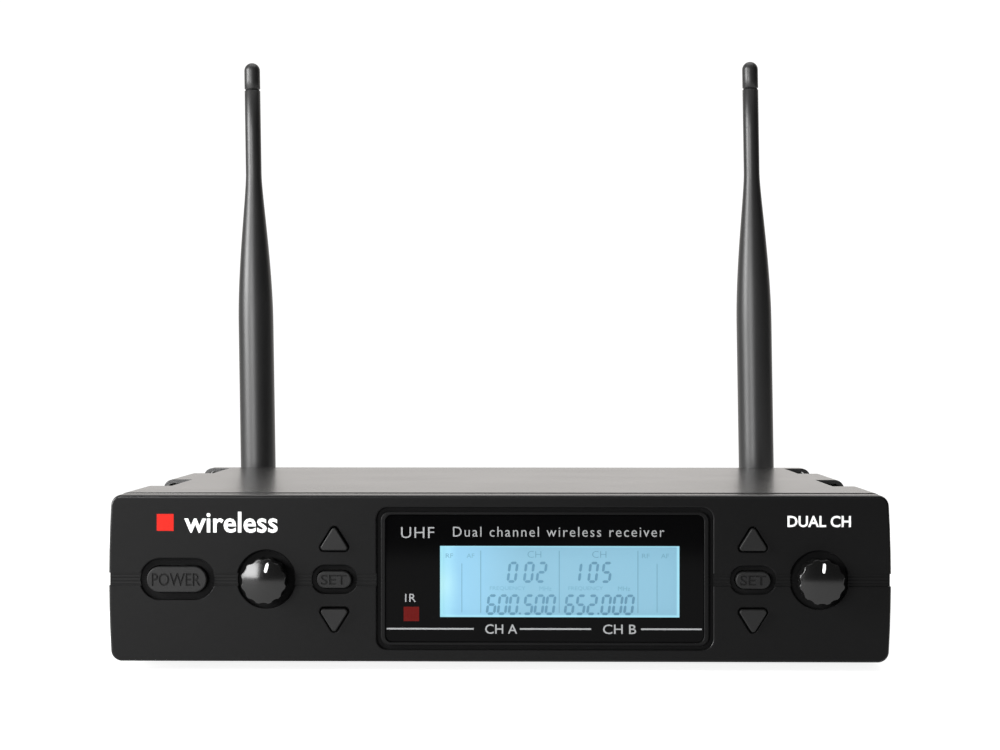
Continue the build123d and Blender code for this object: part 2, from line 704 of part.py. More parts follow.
# ---------------------------------------------------------------- metal case
# The cover is one sheet folded into a U; the vents are cut across its two long bends.
with BuildPart() as top_cover:
    with BuildSketch(facing(CASE_DEPTH)) as outer_section:
        with Locations((0, COVER_TOP / 2)):
            Rectangle(2 * COVER_HALF, COVER_TOP)
        fillet(outer_section.vertices().group_by(Axis.Y)[-1], BEND_R)
    extrude(amount=CASE_DEPTH - COVER_FRONT)
    with BuildSketch(facing(CASE_DEPTH)) as inner_section:
        with Locations((0, (COVER_TOP - SHEET) / 2)):
            Rectangle(2 * (COVER_HALF - SHEET), COVER_TOP - SHEET)
        fillet(inner_section.vertices().group_by(Axis.Y)[-1], BEND_R - SHEET)
    extrude(amount=CASE_DEPTH - COVER_FRONT, mode=Mode.SUBTRACT)
    with BuildSketch(level(COVER_TOP + 1)):
        for side in (-1, 1):
            with Locations(*[(side * COVER_HALF, start + VENT_LEN / 2) for start in VENT_STARTS]):
                Rectangle(2 * VENT_REACH, VENT_LEN)
    extrude(amount=-VENT_DROP - 1, mode=Mode.SUBTRACT)
    add(cover_seats, mode=Mode.SUBTRACT)
keep(top_cover, "top_cover")

# The chassis is the floor, with low edges folded up at the sides, and the rear wall.
flange_front = COVER_FRONT + FLANGE_ENDS[0]
flange_back = CASE_DEPTH - FLANGE_ENDS[1]
with BuildPart() as base_chassis:
    with BuildSketch(level(0)):
        with Locations((0, (COVER_FRONT + CASE_DEPTH) / 2)):
            Rectangle(2 * INSIDE_HALF, CASE_DEPTH - COVER_FRONT)
    extrude(amount=SHEET)
    with BuildSketch(facing(CASE_DEPTH)) as rear_wall:
        with Locations((0, INSIDE_TOP / 2)):
            Rectangle(2 * INSIDE_HALF, INSIDE_TOP)
        fillet(rear_wall.vertices().group_by(Axis.Y)[-1], BEND_R - SHEET)
    extrude(amount=SHEET)
    with BuildSketch(level(0)):
        for side in (-1, 1):
            with Locations((side * (INSIDE_HALF - SHEET / 2), (flange_front + flange_back) / 2)):
                Rectangle(SHEET, flange_back - flange_front)
    extrude(amount=FLANGE_H)
    with BuildSketch(aside(-COVER_HALF)):
        with Locations(*[(depth, COVER_SCREW_H) for depth in COVER_SCREW_DEPTHS]):
            Circle(PILOT_R)
    extrude(amount=2 * COVER_HALF, mode=Mode.SUBTRACT)
    add(floor_seats, mode=Mode.SUBTRACT)
    with BuildSketch(facing(CASE_DEPTH)):
        with Locations(*[(x, XLR_H) for x in XLR_X]):
            Circle(XLR_CUP_R + POT_GAP)
            with Locations((-XLR_SCREW_X, XLR_SCREW_H), (XLR_SCREW_X, -XLR_SCREW_H)):
                Circle(PILOT_R)
        with Locations((JACK_X, JACK_AXIS_H)):
            Circle(JACK_BUSH_R + POT_GAP)
        with Locations((DC_X, DC_AXIS_H)):
            Rectangle(DC_W + 2 * SLIP, DC_BODY_H + 2 * SLIP)
        with Locations((-ANTENNA_X, ANTENNA_H), (ANTENNA_X, ANTENNA_H)):
            Circle(SOCKET_R + SEAT_SLIP)
    extrude(amount=SHEET, mode=Mode.SUBTRACT)
keep(base_chassis, "base_chassis")

foot_depths = (FOOT_IN_FRONT, CASE_DEPTH - FOOT_IN_REAR)
foot_half = COVER_HALF - FOOT_IN_X
with BuildPart() as feet:
    with BuildSketch(level(0)):
        with Locations(*[(x, d) for x in (-foot_half, foot_half) for d in foot_depths]):
            Circle(FOOT_R)
    extrude(amount=-FOOT_H)
    chamfer(feet.edges().group_by(Axis.Z)[0], 0.5)
keep(feet, "feet")

# ---------------------------------------------------------------- main board and what it carries
with BuildPart() as standoffs:
    with BuildSketch(level(SHEET)):
        with Locations(*MAIN_SCREWS):
            RegularPolygon(STANDOFF_R, 6)
            Circle(PILOT_R, mode=Mode.SUBTRACT)
    extrude(amount=STANDOFF_H)
keep(standoffs, "standoffs")

with BuildPart() as main_board:
    with BuildSketch(level(BOARD_BOTTOM)):
        with Locations((0, (MAIN_BOARD_FRONT + MAIN_BOARD_BACK) / 2)):
            RectangleRounded(MAIN_BOARD_W, MAIN_BOARD_BACK - MAIN_BOARD_FRONT, 2.0)
        with Locations(*MAIN_SCREWS):
            Circle(CLEAR_R, mode=Mode.SUBTRACT)
    extrude(amount=BOARD_T)
keep(main_board, "main_board")

# Each tuner sits under a folded tin can that is open towards the board.
TUNERS = ((-CAN_X, CAN_DEPTH), (CAN_X, CAN_DEPTH))
with BuildPart() as tuner_cans:
    with BuildSketch(level(BOARD_TOP)):
        with Locations(*TUNERS):
            RectangleRounded(CAN_W, CAN_LEN, 1.0)
    extrude(amount=CAN_H)
    with BuildSketch(level(BOARD_TOP)):
        with Locations(*TUNERS):
            Rectangle(CAN_W - 2 * CAN_WALL, CAN_LEN - 2 * CAN_WALL)
    extrude(amount=CAN_H - CAN_WALL, mode=Mode.SUBTRACT)
keep(tuner_cans, "tuner_cans")

# Radio chips under the cans, and the control, audio and output chips beside them.
with BuildPart() as chips:
    with BuildSketch(level(BOARD_TOP)):
        with Locations(*TUNERS, *CHIP_PLACES):
            Rectangle(CHIP_W, CHIP_W)
    extrude(amount=CHIP_T)
    chamfer(chips.faces().group_by(Axis.Z)[-1].edges(), 0.2)
keep(chips, "chips")

with BuildPart() as capacitors:
    with BuildSketch(level(BOARD_TOP)):
        with Locations(*CAPACITOR_PLACES):
            Circle(CAPACITOR_R)
    extrude(amount=CAPACITOR_H)
    fillet(capacitors.edges().group_by(Axis.Z)[-1], 0.5)
keep(capacitors, "capacitors")

# Voltage regulator: a small package bolted flat to a finned heat sink.
with BuildPart() as regulator:
    with BuildSketch(level(BOARD_TOP)):
        with Locations((REGULATOR_X, REGULATOR_DEPTH)):
            Rectangle(REGULATOR_W, REGULATOR_T)
    extrude(amount=REGULATOR_H)
keep(regulator, "regulator")

with BuildPart() as heat_sink:
    with BuildSketch(level(BOARD_TOP)):
        with Locations((REGULATOR_X, REGULATOR_DEPTH + REGULATOR_T / 2 + SINK_WEB / 2)):
            Rectangle(SINK_W, SINK_WEB)
        with Locations((REGULATOR_X, REGULATOR_DEPTH + REGULATOR_T / 2 + SINK_WEB + SINK_FIN / 2)):
            with GridLocations((SINK_W - SINK_WEB) / (SINK_FINS - 1), 0, SINK_FINS, 1):
                Rectangle(SINK_WEB, SINK_FIN)
    extrude(amount=SINK_H)
keep(heat_sink, "heat_sink")

# Headers of the ribbon cable that joins the two boards.
with BuildPart() as board_headers:
    with BuildSketch(facing(FRONT_BOARD_BACK + HEADER_H)):
        with Locations((WINDOW_X, HEADER_PLACE_H)):
            Rectangle(HEADER_W, HEADER_T)
    extrude(amount=HEADER_H)
    with BuildSketch(level(BOARD_TOP)):
        with Locations((WINDOW_X, MAIN_HEADER_DEPTH)):
            Rectangle(HEADER_W, HEADER_T)
    extrude(amount=HEADER_H)
keep(board_headers, "board_headers")

ribbon_front = FRONT_BOARD_BACK + HEADER_H
ribbon_low = BOARD_TOP + HEADER_H
with BuildPart() as ribbon_cable:
    with BuildSketch(aside(WINDOW_X - RIBBON_W / 2)):
        with BuildLine():
            FilletPolyline((ribbon_front, HEADER_PLACE_H), (MAIN_HEADER_DEPTH, HEADER_PLACE_H),
                           (MAIN_HEADER_DEPTH, ribbon_low), radius=RIBBON_BEND_R)
        trace(line_width=RIBBON_T)
    extrude(amount=RIBBON_W)
keep(ribbon_cable, "ribbon_cable")

# ---------------------------------------------------------------- rear sockets
# Balanced outputs: a metal shell with a mounting flange, and three pins on its floor.
with BuildPart() as xlr_sockets:
    with BuildSketch(facing(CASE_DEPTH + XLR_FLANGE_T)):
        with Locations(*[(x, XLR_H) for x in XLR_X]):
            RectangleRounded(XLR_FLANGE_W, XLR_FLANGE_H, 2.0)
    extrude(amount=XLR_FLANGE_T)
    with BuildSketch(facing(CASE_DEPTH)):
        with Locations(*[(x, XLR_H) for x in XLR_X]):
            Circle(XLR_CUP_R)
    extrude(amount=XLR_CUP_LEN)
    with BuildSketch(facing(CASE_DEPTH + XLR_FLANGE_T)):
        with Locations(*[(x, XLR_H) for x in XLR_X]):
            Circle(XLR_BORE_R)
    extrude(amount=XLR_FLOOR, mode=Mode.SUBTRACT)
    with BuildSketch(facing(CASE_DEPTH + XLR_FLANGE_T)):
        with Locations(*[(x, XLR_H) for x in XLR_X]):
            Circle(XLR_MOUTH_R)
            with Locations((-XLR_SCREW_X, XLR_SCREW_H), (XLR_SCREW_X, -XLR_SCREW_H)):
                Circle(CLEAR_R)
    extrude(amount=XLR_MOUTH_LEN, mode=Mode.SUBTRACT)
keep(xlr_sockets, "xlr_sockets")

with BuildPart() as xlr_pins:
    with BuildSketch(facing(CASE_DEPTH + XLR_FLANGE_T - XLR_FLOOR)):
        with Locations(*[(x, XLR_H) for x in XLR_X]):
            with PolarLocations(XLR_PIN_CIRCLE, 3, start_angle=-150, angular_range=240, endpoint=True):
                Circle(XLR_PIN_R)
    extrude(amount=-XLR_PIN_LEN)
    fillet(xlr_pins.faces().group_by(Axis.Y)[-1].edges(), XLR_PIN_R / 2)
keep(xlr_pins, "xlr_pins")

with BuildPart() as xlr_screws:
    for x in XLR_X:
        places = [(x - XLR_SCREW_X, XLR_H + XLR_SCREW_H), (x + XLR_SCREW_X, XLR_H - XLR_SCREW_H)]
        with BuildSketch(facing(CASE_DEPTH + XLR_FLANGE_T + PAN_T)):
            with Locations(*places):
                Circle(PAN_R)
        extrude(amount=PAN_T)
        with BuildSketch(facing(CASE_DEPTH + XLR_FLANGE_T)):
            with Locations(*places):
                Circle(SCREW_R)
        extrude(amount=SCREW_LEN)
        heads = facing(CASE_DEPTH + XLR_FLANGE_T + PAN_T)
        extrude(cross_recess(heads, places), CROSS_DEPTH, mode=Mode.SUBTRACT)
keep(xlr_screws, "xlr_screws")

# Mixed output: a 6.35 mm jack standing on the main board, its bush held by a nut outside.
with BuildPart() as mix_jack:
    with BuildSketch(facing(CASE_DEPTH - SHEET)):
        with Locations((JACK_X, JACK_AXIS_H)):
            Rectangle(JACK_W, JACK_H)
    extrude(amount=JACK_LEN)
    with BuildSketch(facing(CASE_DEPTH + JACK_BUSH_OUT)):
        with Locations((JACK_X, JACK_AXIS_H)):
            Circle(JACK_BUSH_R)
    extrude(amount=JACK_BUSH_OUT + SHEET)
    with BuildSketch(facing(CASE_DEPTH + JACK_BUSH_OUT)):
        with Locations((JACK_X, JACK_AXIS_H)):
            Circle(JACK_BORE_R)
    extrude(amount=JACK_BORE_LEN, mode=Mode.SUBTRACT)
keep(mix_jack, "mix_jack")

with BuildPart() as mix_jack_nut:
    with BuildSketch(facing(CASE_DEPTH + JACK_NUT_T)):
        with Locations((JACK_X, JACK_AXIS_H)):
            RegularPolygon(JACK_NUT_AF / 2, 6, major_radius=False)
            Circle(JACK_BUSH_R + SEAT_SLIP, mode=Mode.SUBTRACT)
    extrude(amount=JACK_NUT_T)
keep(mix_jack_nut, "mix_jack_nut")

# Direct-current inlet for a barrel plug, its face level with the rear wall.
with BuildPart() as dc_inlet:
    with BuildSketch(facing(CASE_DEPTH)):
        with Locations((DC_X, DC_AXIS_H)):
            Rectangle(DC_W, DC_BODY_H)
    extrude(amount=DC_LEN)
    with BuildSketch(facing(CASE_DEPTH)):
        with Locations((DC_X, DC_AXIS_H)):
            Circle(DC_BORE_R)
    extrude(amount=DC_BORE_LEN, mode=Mode.SUBTRACT)
    with BuildSketch(facing(CASE_DEPTH - DC_BORE_LEN)):
        with Locations((DC_X, DC_AXIS_H)):
            Circle(DC_PIN_R)
    extrude(amount=-DC_PIN_LEN)
keep(dc_inlet, "dc_inlet")

# ---------------------------------------------------------------- antenna sockets
# Bayonet sockets: a hexagonal flange outside, a nut inside, and two lugs on the barrel.
SOCKETS = ((-ANTENNA_X, ANTENNA_H), (ANTENNA_X, ANTENNA_H))
with BuildPart() as antenna_sockets:
    with BuildSketch(facing(CASE_DEPTH + SOCKET_FLANGE_T)):
        with Locations(*SOCKETS):
            RegularPolygon(SOCKET_HEX / 2, 6, major_radius=False)
    extrude(amount=SOCKET_FLANGE_T)
    with BuildSketch(facing(SOCKET_END)):
        with Locations(*SOCKETS):
            Circle(SOCKET_R)
    extrude(amount=SOCKET_OUT + SOCKET_IN)
    with BuildSketch(level(ANTENNA_H)):
        with Locations(*[(x, CASE_DEPTH + LUG_AT) for x, height in SOCKETS]):
            Circle(LUG_R)
    extrude(amount=SOCKET_R + LUG_OUT, both=True)
    with BuildSketch(facing(SOCKET_END)):
        with Locations(*SOCKETS):
            Circle(SOCKET_BORE_R)
    extrude(amount=SOCKET_BORE_LEN, mode=Mode.SUBTRACT)
    with BuildSketch(facing(SOCKET_END - SOCKET_BORE_LEN)):
        with Locations(*SOCKETS):
            Circle(SOCKET_PIN_R)
    extrude(amount=-SOCKET_PIN_LEN)
keep(antenna_sockets, "antenna_sockets")

with BuildPart() as socket_nuts:
    with BuildSketch(facing(CASE_DEPTH - SHEET)):
        with Locations(*SOCKETS):
            RegularPolygon(SOCKET_NUT_AF / 2, 6, major_radius=False)
            Circle(SOCKET_R + SEAT_SLIP, mode=Mode.SUBTRACT)
    extrude(amount=SOCKET_NUT_T)
keep(socket_nuts, "socket_nuts")

# A thin coaxial cable runs from the inner end of each socket to the side of its tuner can.
can_side = CAN_X + CAN_W / 2
cable_low = BOARD_TOP + CAN_H / 2
slope = math.atan2(ANTENNA_H - cable_low, CABLE_DROP_DEPTH - CAN_DEPTH)
first_run = CASE_DEPTH - SOCKET_IN - CABLE_DROP_DEPTH
cable_radii = [0.45 * first_run / math.tan(slope / 2), 0.45 * (ANTENNA_X - can_side)]
print("cable bend radii", [round(radius, 1) for radius in cable_radii])
with BuildPart() as coax_jumpers:
    for side in (-1, 1):
        with BuildLine() as route:
            FilletPolyline(at(side * ANTENNA_X, CASE_DEPTH - SOCKET_IN, ANTENNA_H),
                           at(side * ANTENNA_X, CABLE_DROP_DEPTH, ANTENNA_H),
                           at(side * ANTENNA_X, CAN_DEPTH, cable_low),
                           at(side * can_side, CAN_DEPTH, cable_low), radius=cable_radii)
        with BuildSketch(Plane(origin=route.line @ 0, z_dir=route.line % 0)):
            Circle(CABLE_R)
        sweep(path=route.line)
keep(coax_jumpers, "coax_jumpers")


# ---------------------------------------------------------------- antennas
# Each antenna plugs on to its bayonet socket, turns about it, and tilts on a cross pin
# between upright and straight back. The lean of the whip at rest is a turn about the socket.
lean = math.radians(LEAN)
TILT_AXIS = (math.cos(lean), 0, math.sin(lean))
WHIP_AXIS = (-math.sin(lean), 0, math.cos(lean))
SHOULDER_UP = BARREL_R + SWING_GAP  # bottom of the barrel over the pivot
WHIP_TOP = (TIP_Z - FOOT_H - ANTENNA_H) / math.cos(lean)
CAP_FROM = WHIP_TOP - CAP_LEN


def make_ring(letter, side):
    """Bayonet ring: it turns a quarter turn on the lugs of the socket."""
    axis_point = at(side * ANTENNA_X, CASE_DEPTH, ANTENNA_H)
    place = (side * ANTENNA_X, ANTENNA_H)
    ring_axis = Axis(axis_point, (0, -1, 0))
    chamber_front = SHOULDER_FRONT - KEY_GAP
    chamber_back = SHOULDER_BACK + KEY_GAP
    groove_half = LUG_R + KEY_GAP
    groove_r = SOCKET_R + LUG_OUT + KEY_GAP
    with BuildPart() as ring:
        with BuildSketch(facing(RING_BACK)):
            with Locations(place):
                Circle(RING_R)
        extrude(amount=RING_BACK - CASE_DEPTH - RING_FRONT)
        chamfer(ring.edges().filter_by(GeomType.CIRCLE), 0.5)
        with BuildSketch(facing(RING_BACK)):
            with Locations(place):
                with PolarLocations(RING_R + RING_FLUTE_R / 2, RING_FLUTES):
                    Circle(RING_FLUTE_R)
        extrude(amount=RING_BACK - CASE_DEPTH - RING_FRONT, mode=Mode.SUBTRACT)
        with BuildSketch(facing(RING_BACK)):
            with Locations(place):
                Circle(NECK_R + RUN)
        extrude(amount=RING_BACK - CASE_DEPTH - RING_FRONT, mode=Mode.SUBTRACT)
        with BuildSketch(facing(chamber_back)):
            with Locations(place):
                Circle(SHOULDER_R + KEY_GAP)
        extrude(amount=chamber_back - chamber_front, mode=Mode.SUBTRACT)
        with BuildSketch(facing(chamber_front)):
            with Locations(place):
                Circle(SOCKET_R + KEY_GAP)
        extrude(amount=chamber_front - CASE_DEPTH - RING_FRONT, mode=Mode.SUBTRACT)
        # groove of each lug, from where it is locked (up or down) to its way out at the side
        for start in (90 - LOCK_SPARE, 270 - LOCK_SPARE):
            radial = math.radians(start)
            across = (math.sin(radial), 0, -math.cos(radial))
            with BuildSketch(Plane(origin=axis_point, x_dir=(0, 1, 0), z_dir=across)):
                with Locations((LUG_AT, (SOCKET_R + groove_r) / 2)):
                    Rectangle(2 * groove_half, groove_r - SOCKET_R)
            revolve(axis=ring_axis, revolution_arc=LOCK_TURN + 2 * LOCK_SPARE, mode=Mode.SUBTRACT)
        with BuildSketch(facing(CASE_DEPTH + LUG_AT + groove_half)):
            with Locations(place):
                Rectangle(2 * groove_r, 2 * groove_half)
        extrude(amount=LUG_AT + groove_half - RING_FRONT, mode=Mode.SUBTRACT)
    keep(ring, f"bayonet_ring_{letter}")


def make_knuckle(letter, side):
    """Elbow that turns in the socket, with the fork and the cross pin that carry the whip."""
    place = (side * ANTENNA_X, ANTENNA_H)
    pivot = Vector(*at(side * ANTENNA_X, PIVOT_DEPTH, ANTENNA_H))
    fork_side = Plane(origin=pivot, x_dir=(0, 1, 0), z_dir=TILT_AXIS)
    fork_len = PIVOT_DEPTH - ELBOW_FRONT
    with BuildPart() as knuckle:
        with BuildSketch(fork_side):
            with Locations((-fork_len / 2, 0)):
                Rectangle(fork_len, 2 * BARREL_R)
            Circle(BARREL_R)
        extrude(amount=BARREL_R, both=True)
        fillet(knuckle.edges().filter_by(Axis.Y), CHEEK_EDGE_R)
        with BuildSketch(fork_side):
            with Locations(((ELBOW_BACK - PIVOT_DEPTH + 2 * BARREL_R) / 2, 0)):
                Rectangle(PIVOT_DEPTH - ELBOW_BACK + 2 * BARREL_R, 4 * BARREL_R)
        extrude(amount=TONGUE_W / 2 + CHEEK_SLIP, both=True, mode=Mode.SUBTRACT)
        with BuildSketch(fork_side):
            Circle(PIVOT_R)
        extrude(amount=2 * BARREL_R, both=True, mode=Mode.SUBTRACT)
        with BuildSketch(facing(ELBOW_FRONT)):
            with Locations(place):
                Circle(NECK_R)
        extrude(amount=ELBOW_FRONT - SHOULDER_BACK)
        with BuildSketch(facing(SHOULDER_BACK)):
            with Locations(place):
                Circle(SHOULDER_R)
        extrude(amount=SHOULDER_T)
        with BuildSketch(facing(SHOULDER_FRONT)):
            with Locations(place):
                Circle(SOCKET_BORE_R - RUN)
                Circle(SLEEVE_BORE_R, mode=Mode.SUBTRACT)
        extrude(amount=SLEEVE_LEN)
    keep(knuckle, f"antenna_knuckle_{letter}")
    with BuildPart() as pin:
        with BuildSketch(fork_side):
            Circle(PIVOT_R - SEAT_SLIP)
        extrude(amount=BARREL_R, both=True)
    keep(pin, f"tilt_pin_{letter}")


def make_whip(letter, side):
    """Rubber-covered whip with its tongue, and the cap on its tip."""
    pivot = Vector(*at(side * ANTENNA_X, PIVOT_DEPTH, ANTENNA_H))
    profile_plane = Plane(origin=pivot, x_dir=TILT_AXIS, z_dir=(0, -1, 0))
    whip_axis = Axis(pivot, WHIP_AXIS)
    slim_from = WHIP_TOP - SLIM_LEN
    barrel_top = slim_from - TAPER_LEN
    with BuildPart() as whip:
        with BuildSketch(profile_plane):
            with BuildLine():
                Polyline((SLIM_R, slim_from), (SLIM_R, CAP_FROM), (0, CAP_FROM), (0, SHOULDER_UP),
                         (BARREL_R, SHOULDER_UP), (BARREL_R, barrel_top))
                Bezier((BARREL_R, barrel_top), (BARREL_R, barrel_top + EASE_BARREL),
                       (SLIM_R, slim_from - EASE_SLIM), (SLIM_R, slim_from))
            make_face()
        revolve(axis=whip_axis)
        chamfer(whip.edges().filter_by(GeomType.CIRCLE).sort_by(Axis.Z)[0], 0.5)
        with BuildSketch(Plane(origin=pivot, x_dir=(0, 1, 0), z_dir=TILT_AXIS)):
            Circle(BARREL_R)
            with Locations((0, SHOULDER_UP / 2 + 0.25)):
                Rectangle(2 * BARREL_R - 1, SHOULDER_UP + 0.5)
            Circle(PIVOT_R + RUN - SEAT_SLIP, mode=Mode.SUBTRACT)
        extrude(amount=TONGUE_W / 2, both=True)
    keep(whip, f"antenna_whip_{letter}")
    with BuildPart() as cap:
        with BuildSketch(profile_plane):
            with BuildLine():
                neck_r = SLIM_R - CAP_GROOVE
                Polyline((0, CAP_FROM), (neck_r, CAP_FROM), (neck_r, CAP_FROM + CAP_GROOVE_H),
                         (SLIM_R, CAP_FROM + CAP_GROOVE_H), (SLIM_R, WHIP_TOP - SLIM_R))
                RadiusArc((SLIM_R, WHIP_TOP - SLIM_R), (0, WHIP_TOP), -SLIM_R)
                Line((0, WHIP_TOP), (0, CAP_FROM))
            make_face()
        revolve(axis=whip_axis)
    keep(cap, f"antenna_tip_{letter}")


for letter, side in (("a", -1), ("b", 1)):
    make_ring(letter, side)
    make_knuckle(letter, side)
    make_whip(letter, side)
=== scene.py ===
"""Looks of the half-rack wireless microphone receiver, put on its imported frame.

Metres, +Z up, the front panel faces -Y. Places inside the case are given in millimetres as
(x, depth, height): depth runs back from the panel face, height up from the underside.
"""
import math

import bmesh
import bpy
import numpy as np
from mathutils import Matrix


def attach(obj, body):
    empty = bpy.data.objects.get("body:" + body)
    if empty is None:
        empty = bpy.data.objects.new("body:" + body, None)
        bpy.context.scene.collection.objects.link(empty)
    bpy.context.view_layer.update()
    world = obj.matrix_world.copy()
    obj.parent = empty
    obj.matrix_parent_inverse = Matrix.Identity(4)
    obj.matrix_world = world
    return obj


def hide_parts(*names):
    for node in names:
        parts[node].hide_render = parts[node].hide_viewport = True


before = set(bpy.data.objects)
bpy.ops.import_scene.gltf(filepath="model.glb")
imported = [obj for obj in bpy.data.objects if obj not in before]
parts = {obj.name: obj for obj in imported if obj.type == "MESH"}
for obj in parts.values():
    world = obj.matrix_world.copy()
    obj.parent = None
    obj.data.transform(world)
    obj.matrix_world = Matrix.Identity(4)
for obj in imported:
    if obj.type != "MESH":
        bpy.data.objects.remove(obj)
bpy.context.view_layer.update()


# ---------------------------------------------------------------- metal case
# The folded cover and the chassis under it: sheet steel with a fine semi-gloss powder coat,
# charcoal, so that it mirrors softly whatever stands behind it.
class Shade:
    """A socket in a material's nodes; arithmetic on it adds Math nodes."""

    def __init__(self, tree, socket=None):
        self.tree = tree
        self.socket = socket

    def node(self, kind, settings=None, sockets=None, output=0):
        """Adds a node: first its settings, then a value or a link for each socket named."""
        made = self.tree.nodes.new(kind)
        for name, value in (settings or {}).items():
            setattr(made, name, value)
        for name, value in (sockets or {}).items():
            if isinstance(value, Shade):
                self.tree.links.new(value.socket, made.inputs[name])
            else:
                made.inputs[name].default_value = value
        return Shade(self.tree, made.outputs[output] if made.outputs else None)

    def math(self, operation, *others):
        """Math node that takes this socket first."""
        return self.node("ShaderNodeMath", {"operation": operation}, dict(enumerate((self, *others))))

    def __add__(self, other):
        return self.math("ADD", other)

    __radd__ = __add__

    def __sub__(self, other):
        return self.math("SUBTRACT", other)

    def __rsub__(self, other):
        return self.math("MULTIPLY_ADD", -1.0, other)

    def __mul__(self, other):
        return self.math("MULTIPLY", other)

    __rmul__ = __mul__

    def axis(self, name):
        """One coordinate of a vector, in millimetres."""
        return self.node("ShaderNodeSeparateXYZ", None, {"Vector": self}, name) * 1000.0

    def rise(self, start, end):
        """0 before start, 1 after end, and a smooth step between."""
        ends = {"Value": self, "From Min": start, "From Max": end}
        return self.node("ShaderNodeMapRange", {"interpolation_type": "SMOOTHSTEP"}, ends)

    def between(self, low, high, soft):
        """1 between low and high, with soft ends."""
        return self.rise(low - soft, low + soft) * (1.0 - self.rise(high - soft, high + soft))

    def noise(self, scale, detail=2.0):
        """Cloudy noise from 0 to 1; scale counts its cells in one metre."""
        cells = {"Vector": self, "Scale": scale, "Detail": detail}
        return self.node("ShaderNodeTexNoise", None, cells)

    def tint(self, dark, light):
        """Colour between dark, where this is 0, and light, where it is 1."""
        dark, light = [end if isinstance(end, Shade) else (*end, 1.0) for end in (dark, light)]
        # A Mix node's colours go in at its sockets 6 and 7 and come out at 2.
        return self.node("ShaderNodeMix", {"data_type": "RGBA"}, {"Factor": self, 6: dark, 7: light}, 2)

    def bump(self, distance, strength=1.0):
        """Normal of a surface whose height is this times distance, in metres."""
        sockets = {"Height": self, "Distance": distance, "Strength": strength}
        return self.node("ShaderNodeBump", None, sockets)


def finish_named(name, varied, **fixed):
    """Material whose varied sockets come from a function of the Object coordinates."""
    made = bpy.data.materials.new(name)
    made.use_nodes = True
    made.node_tree.nodes.clear()
    place = Shade(made.node_tree).node("ShaderNodeTexCoord", None, None, "Object")
    sockets = {key.replace("_", " "): value for key, value in fixed.items()}
    sockets.update(varied(place))
    surface = place.node("ShaderNodeBsdfPrincipled", None, sockets)
    place.node("ShaderNodeOutputMaterial", None, {"Surface": surface})
    return made


def dress(material, *names):
    """Puts a finish on CAD parts."""
    for name in names:
        parts[name].data.materials.clear()
        parts[name].data.materials.append(material)


def powder_coat(place):
    speck = place.noise(1900.0, 3.0)
    cloud = place.noise(28.0)
    return {"Base Color": cloud.tint((0.012, 0.012, 0.0125), (0.017, 0.0168, 0.0165)),
            "Roughness": 0.20 + speck * 0.06 + cloud * 0.05,
            "Normal": speck.bump(0.00002, 0.5)}


dress(finish_named("case_powder_coat", powder_coat), "top_cover", "base_chassis")


# ---------------------------------------------------------------- front panel
# One moulding in charcoal plastic with a fine spark-eroded grain, coarser in its recesses. The
# groove round its middle has faint moulded lines; rims and the upper edge are worn smoother.
FACE_Y = -92.24
FOOT_H = 2.5


def grained_plastic(dark, light, grain, gloss):
    """Recipe for moulded plastic: cloudy colour, grain bump and uneven gloss."""
    def recipe(place):
        grit = place.noise(5200.0, 3.0)
        cloud = place.noise(35.0, 3.0)
        return {"Base Color": cloud.tint(dark, light),
                "Roughness": gloss + grit * 0.10 + cloud * 0.05,
                "Normal": grit.bump(grain, 0.6)}
    return recipe


def panel_plastic(place):
    look = grained_plastic((0.0022, 0.0022, 0.0023), (0.0031, 0.0031, 0.0032), 0.00004, 0.38)(place)
    height = place.axis("Z")
    groove = height.between(23.4, 26.1, 0.1)
    turn = height * (2 * math.pi / 0.9)
    grit = place.noise(5200.0, 3.0)
    look["Normal"] = (grit * 0.04 + groove * turn.math("SINE") * 0.03).bump(0.001, 0.6)
    depth = place.axis("Y") - FACE_Y
    look["Roughness"] = look["Roughness"] + depth.rise(0.5, 0.8) * 0.35
    look["Coat Weight"] = height.rise(46.6, 47.4) * 0.75 + depth.between(0.05, 0.29, 0.03) * 0.4
    return look


dress(finish_named("panel_plastic", panel_plastic, Specular_IOR_Level=0.10, Coat_Roughness=0.25),
      "front_panel")


# ---------------------------------------------------------------- marks printed on the panel
# Flat white silk-screen print, a few hundredths of a millimetre thick: a plain word on the
# left with a small red square, and the number of channels on the right.
INK_RISE = 0.03


def add_piece(name, points, faces, material, body, slot, smooth=False):
    """Mesh object from an array of points in metres; it rides on a body."""
    mesh = bpy.data.meshes.new(name)
    mesh.from_pydata(points.tolist(), [], faces)
    mesh.materials.append(material)
    mesh.polygons.foreach_set("use_smooth", np.full(len(mesh.polygons), smooth))
    mesh.update()
    piece = bpy.data.objects.new(name, mesh)
    bpy.context.scene.collection.objects.link(piece)
    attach(piece, body)
    return piece


def letters(words, left, right, low, high, bold=0.0, spread=1.0):
    """Corners (x, height) and faces of a line of type stretched to a box, in millimetres."""
    curve = bpy.data.curves.new("type", "FONT")
    curve.body = words
    curve.offset = bold
    curve.space_character = spread
    curve.resolution_u = 3
    typed = bpy.data.objects.new("type", curve)
    bpy.context.scene.collection.objects.link(typed)
    mesh = bpy.data.meshes.new_from_object(typed)
    flat = np.empty(len(mesh.vertices) * 3)
    mesh.vertices.foreach_get("co", flat)
    flat = flat.reshape(-1, 3)[:, :2]
    faces = [list(polygon.vertices) for polygon in mesh.polygons]
    bpy.data.objects.remove(typed)
    bpy.data.meshes.remove(mesh)
    span = np.ptp(flat, axis=0)
    placed = (flat - flat.min(axis=0)) / span * (right - left, high - low) + (left, low)
    return placed, faces


def bar(left, right, low, high):
    """Corners and face of a plain printed rectangle, in millimetres."""
    return np.array([(left, low), (right, low), (right, high), (left, high)]), [[0, 1, 2, 3]]


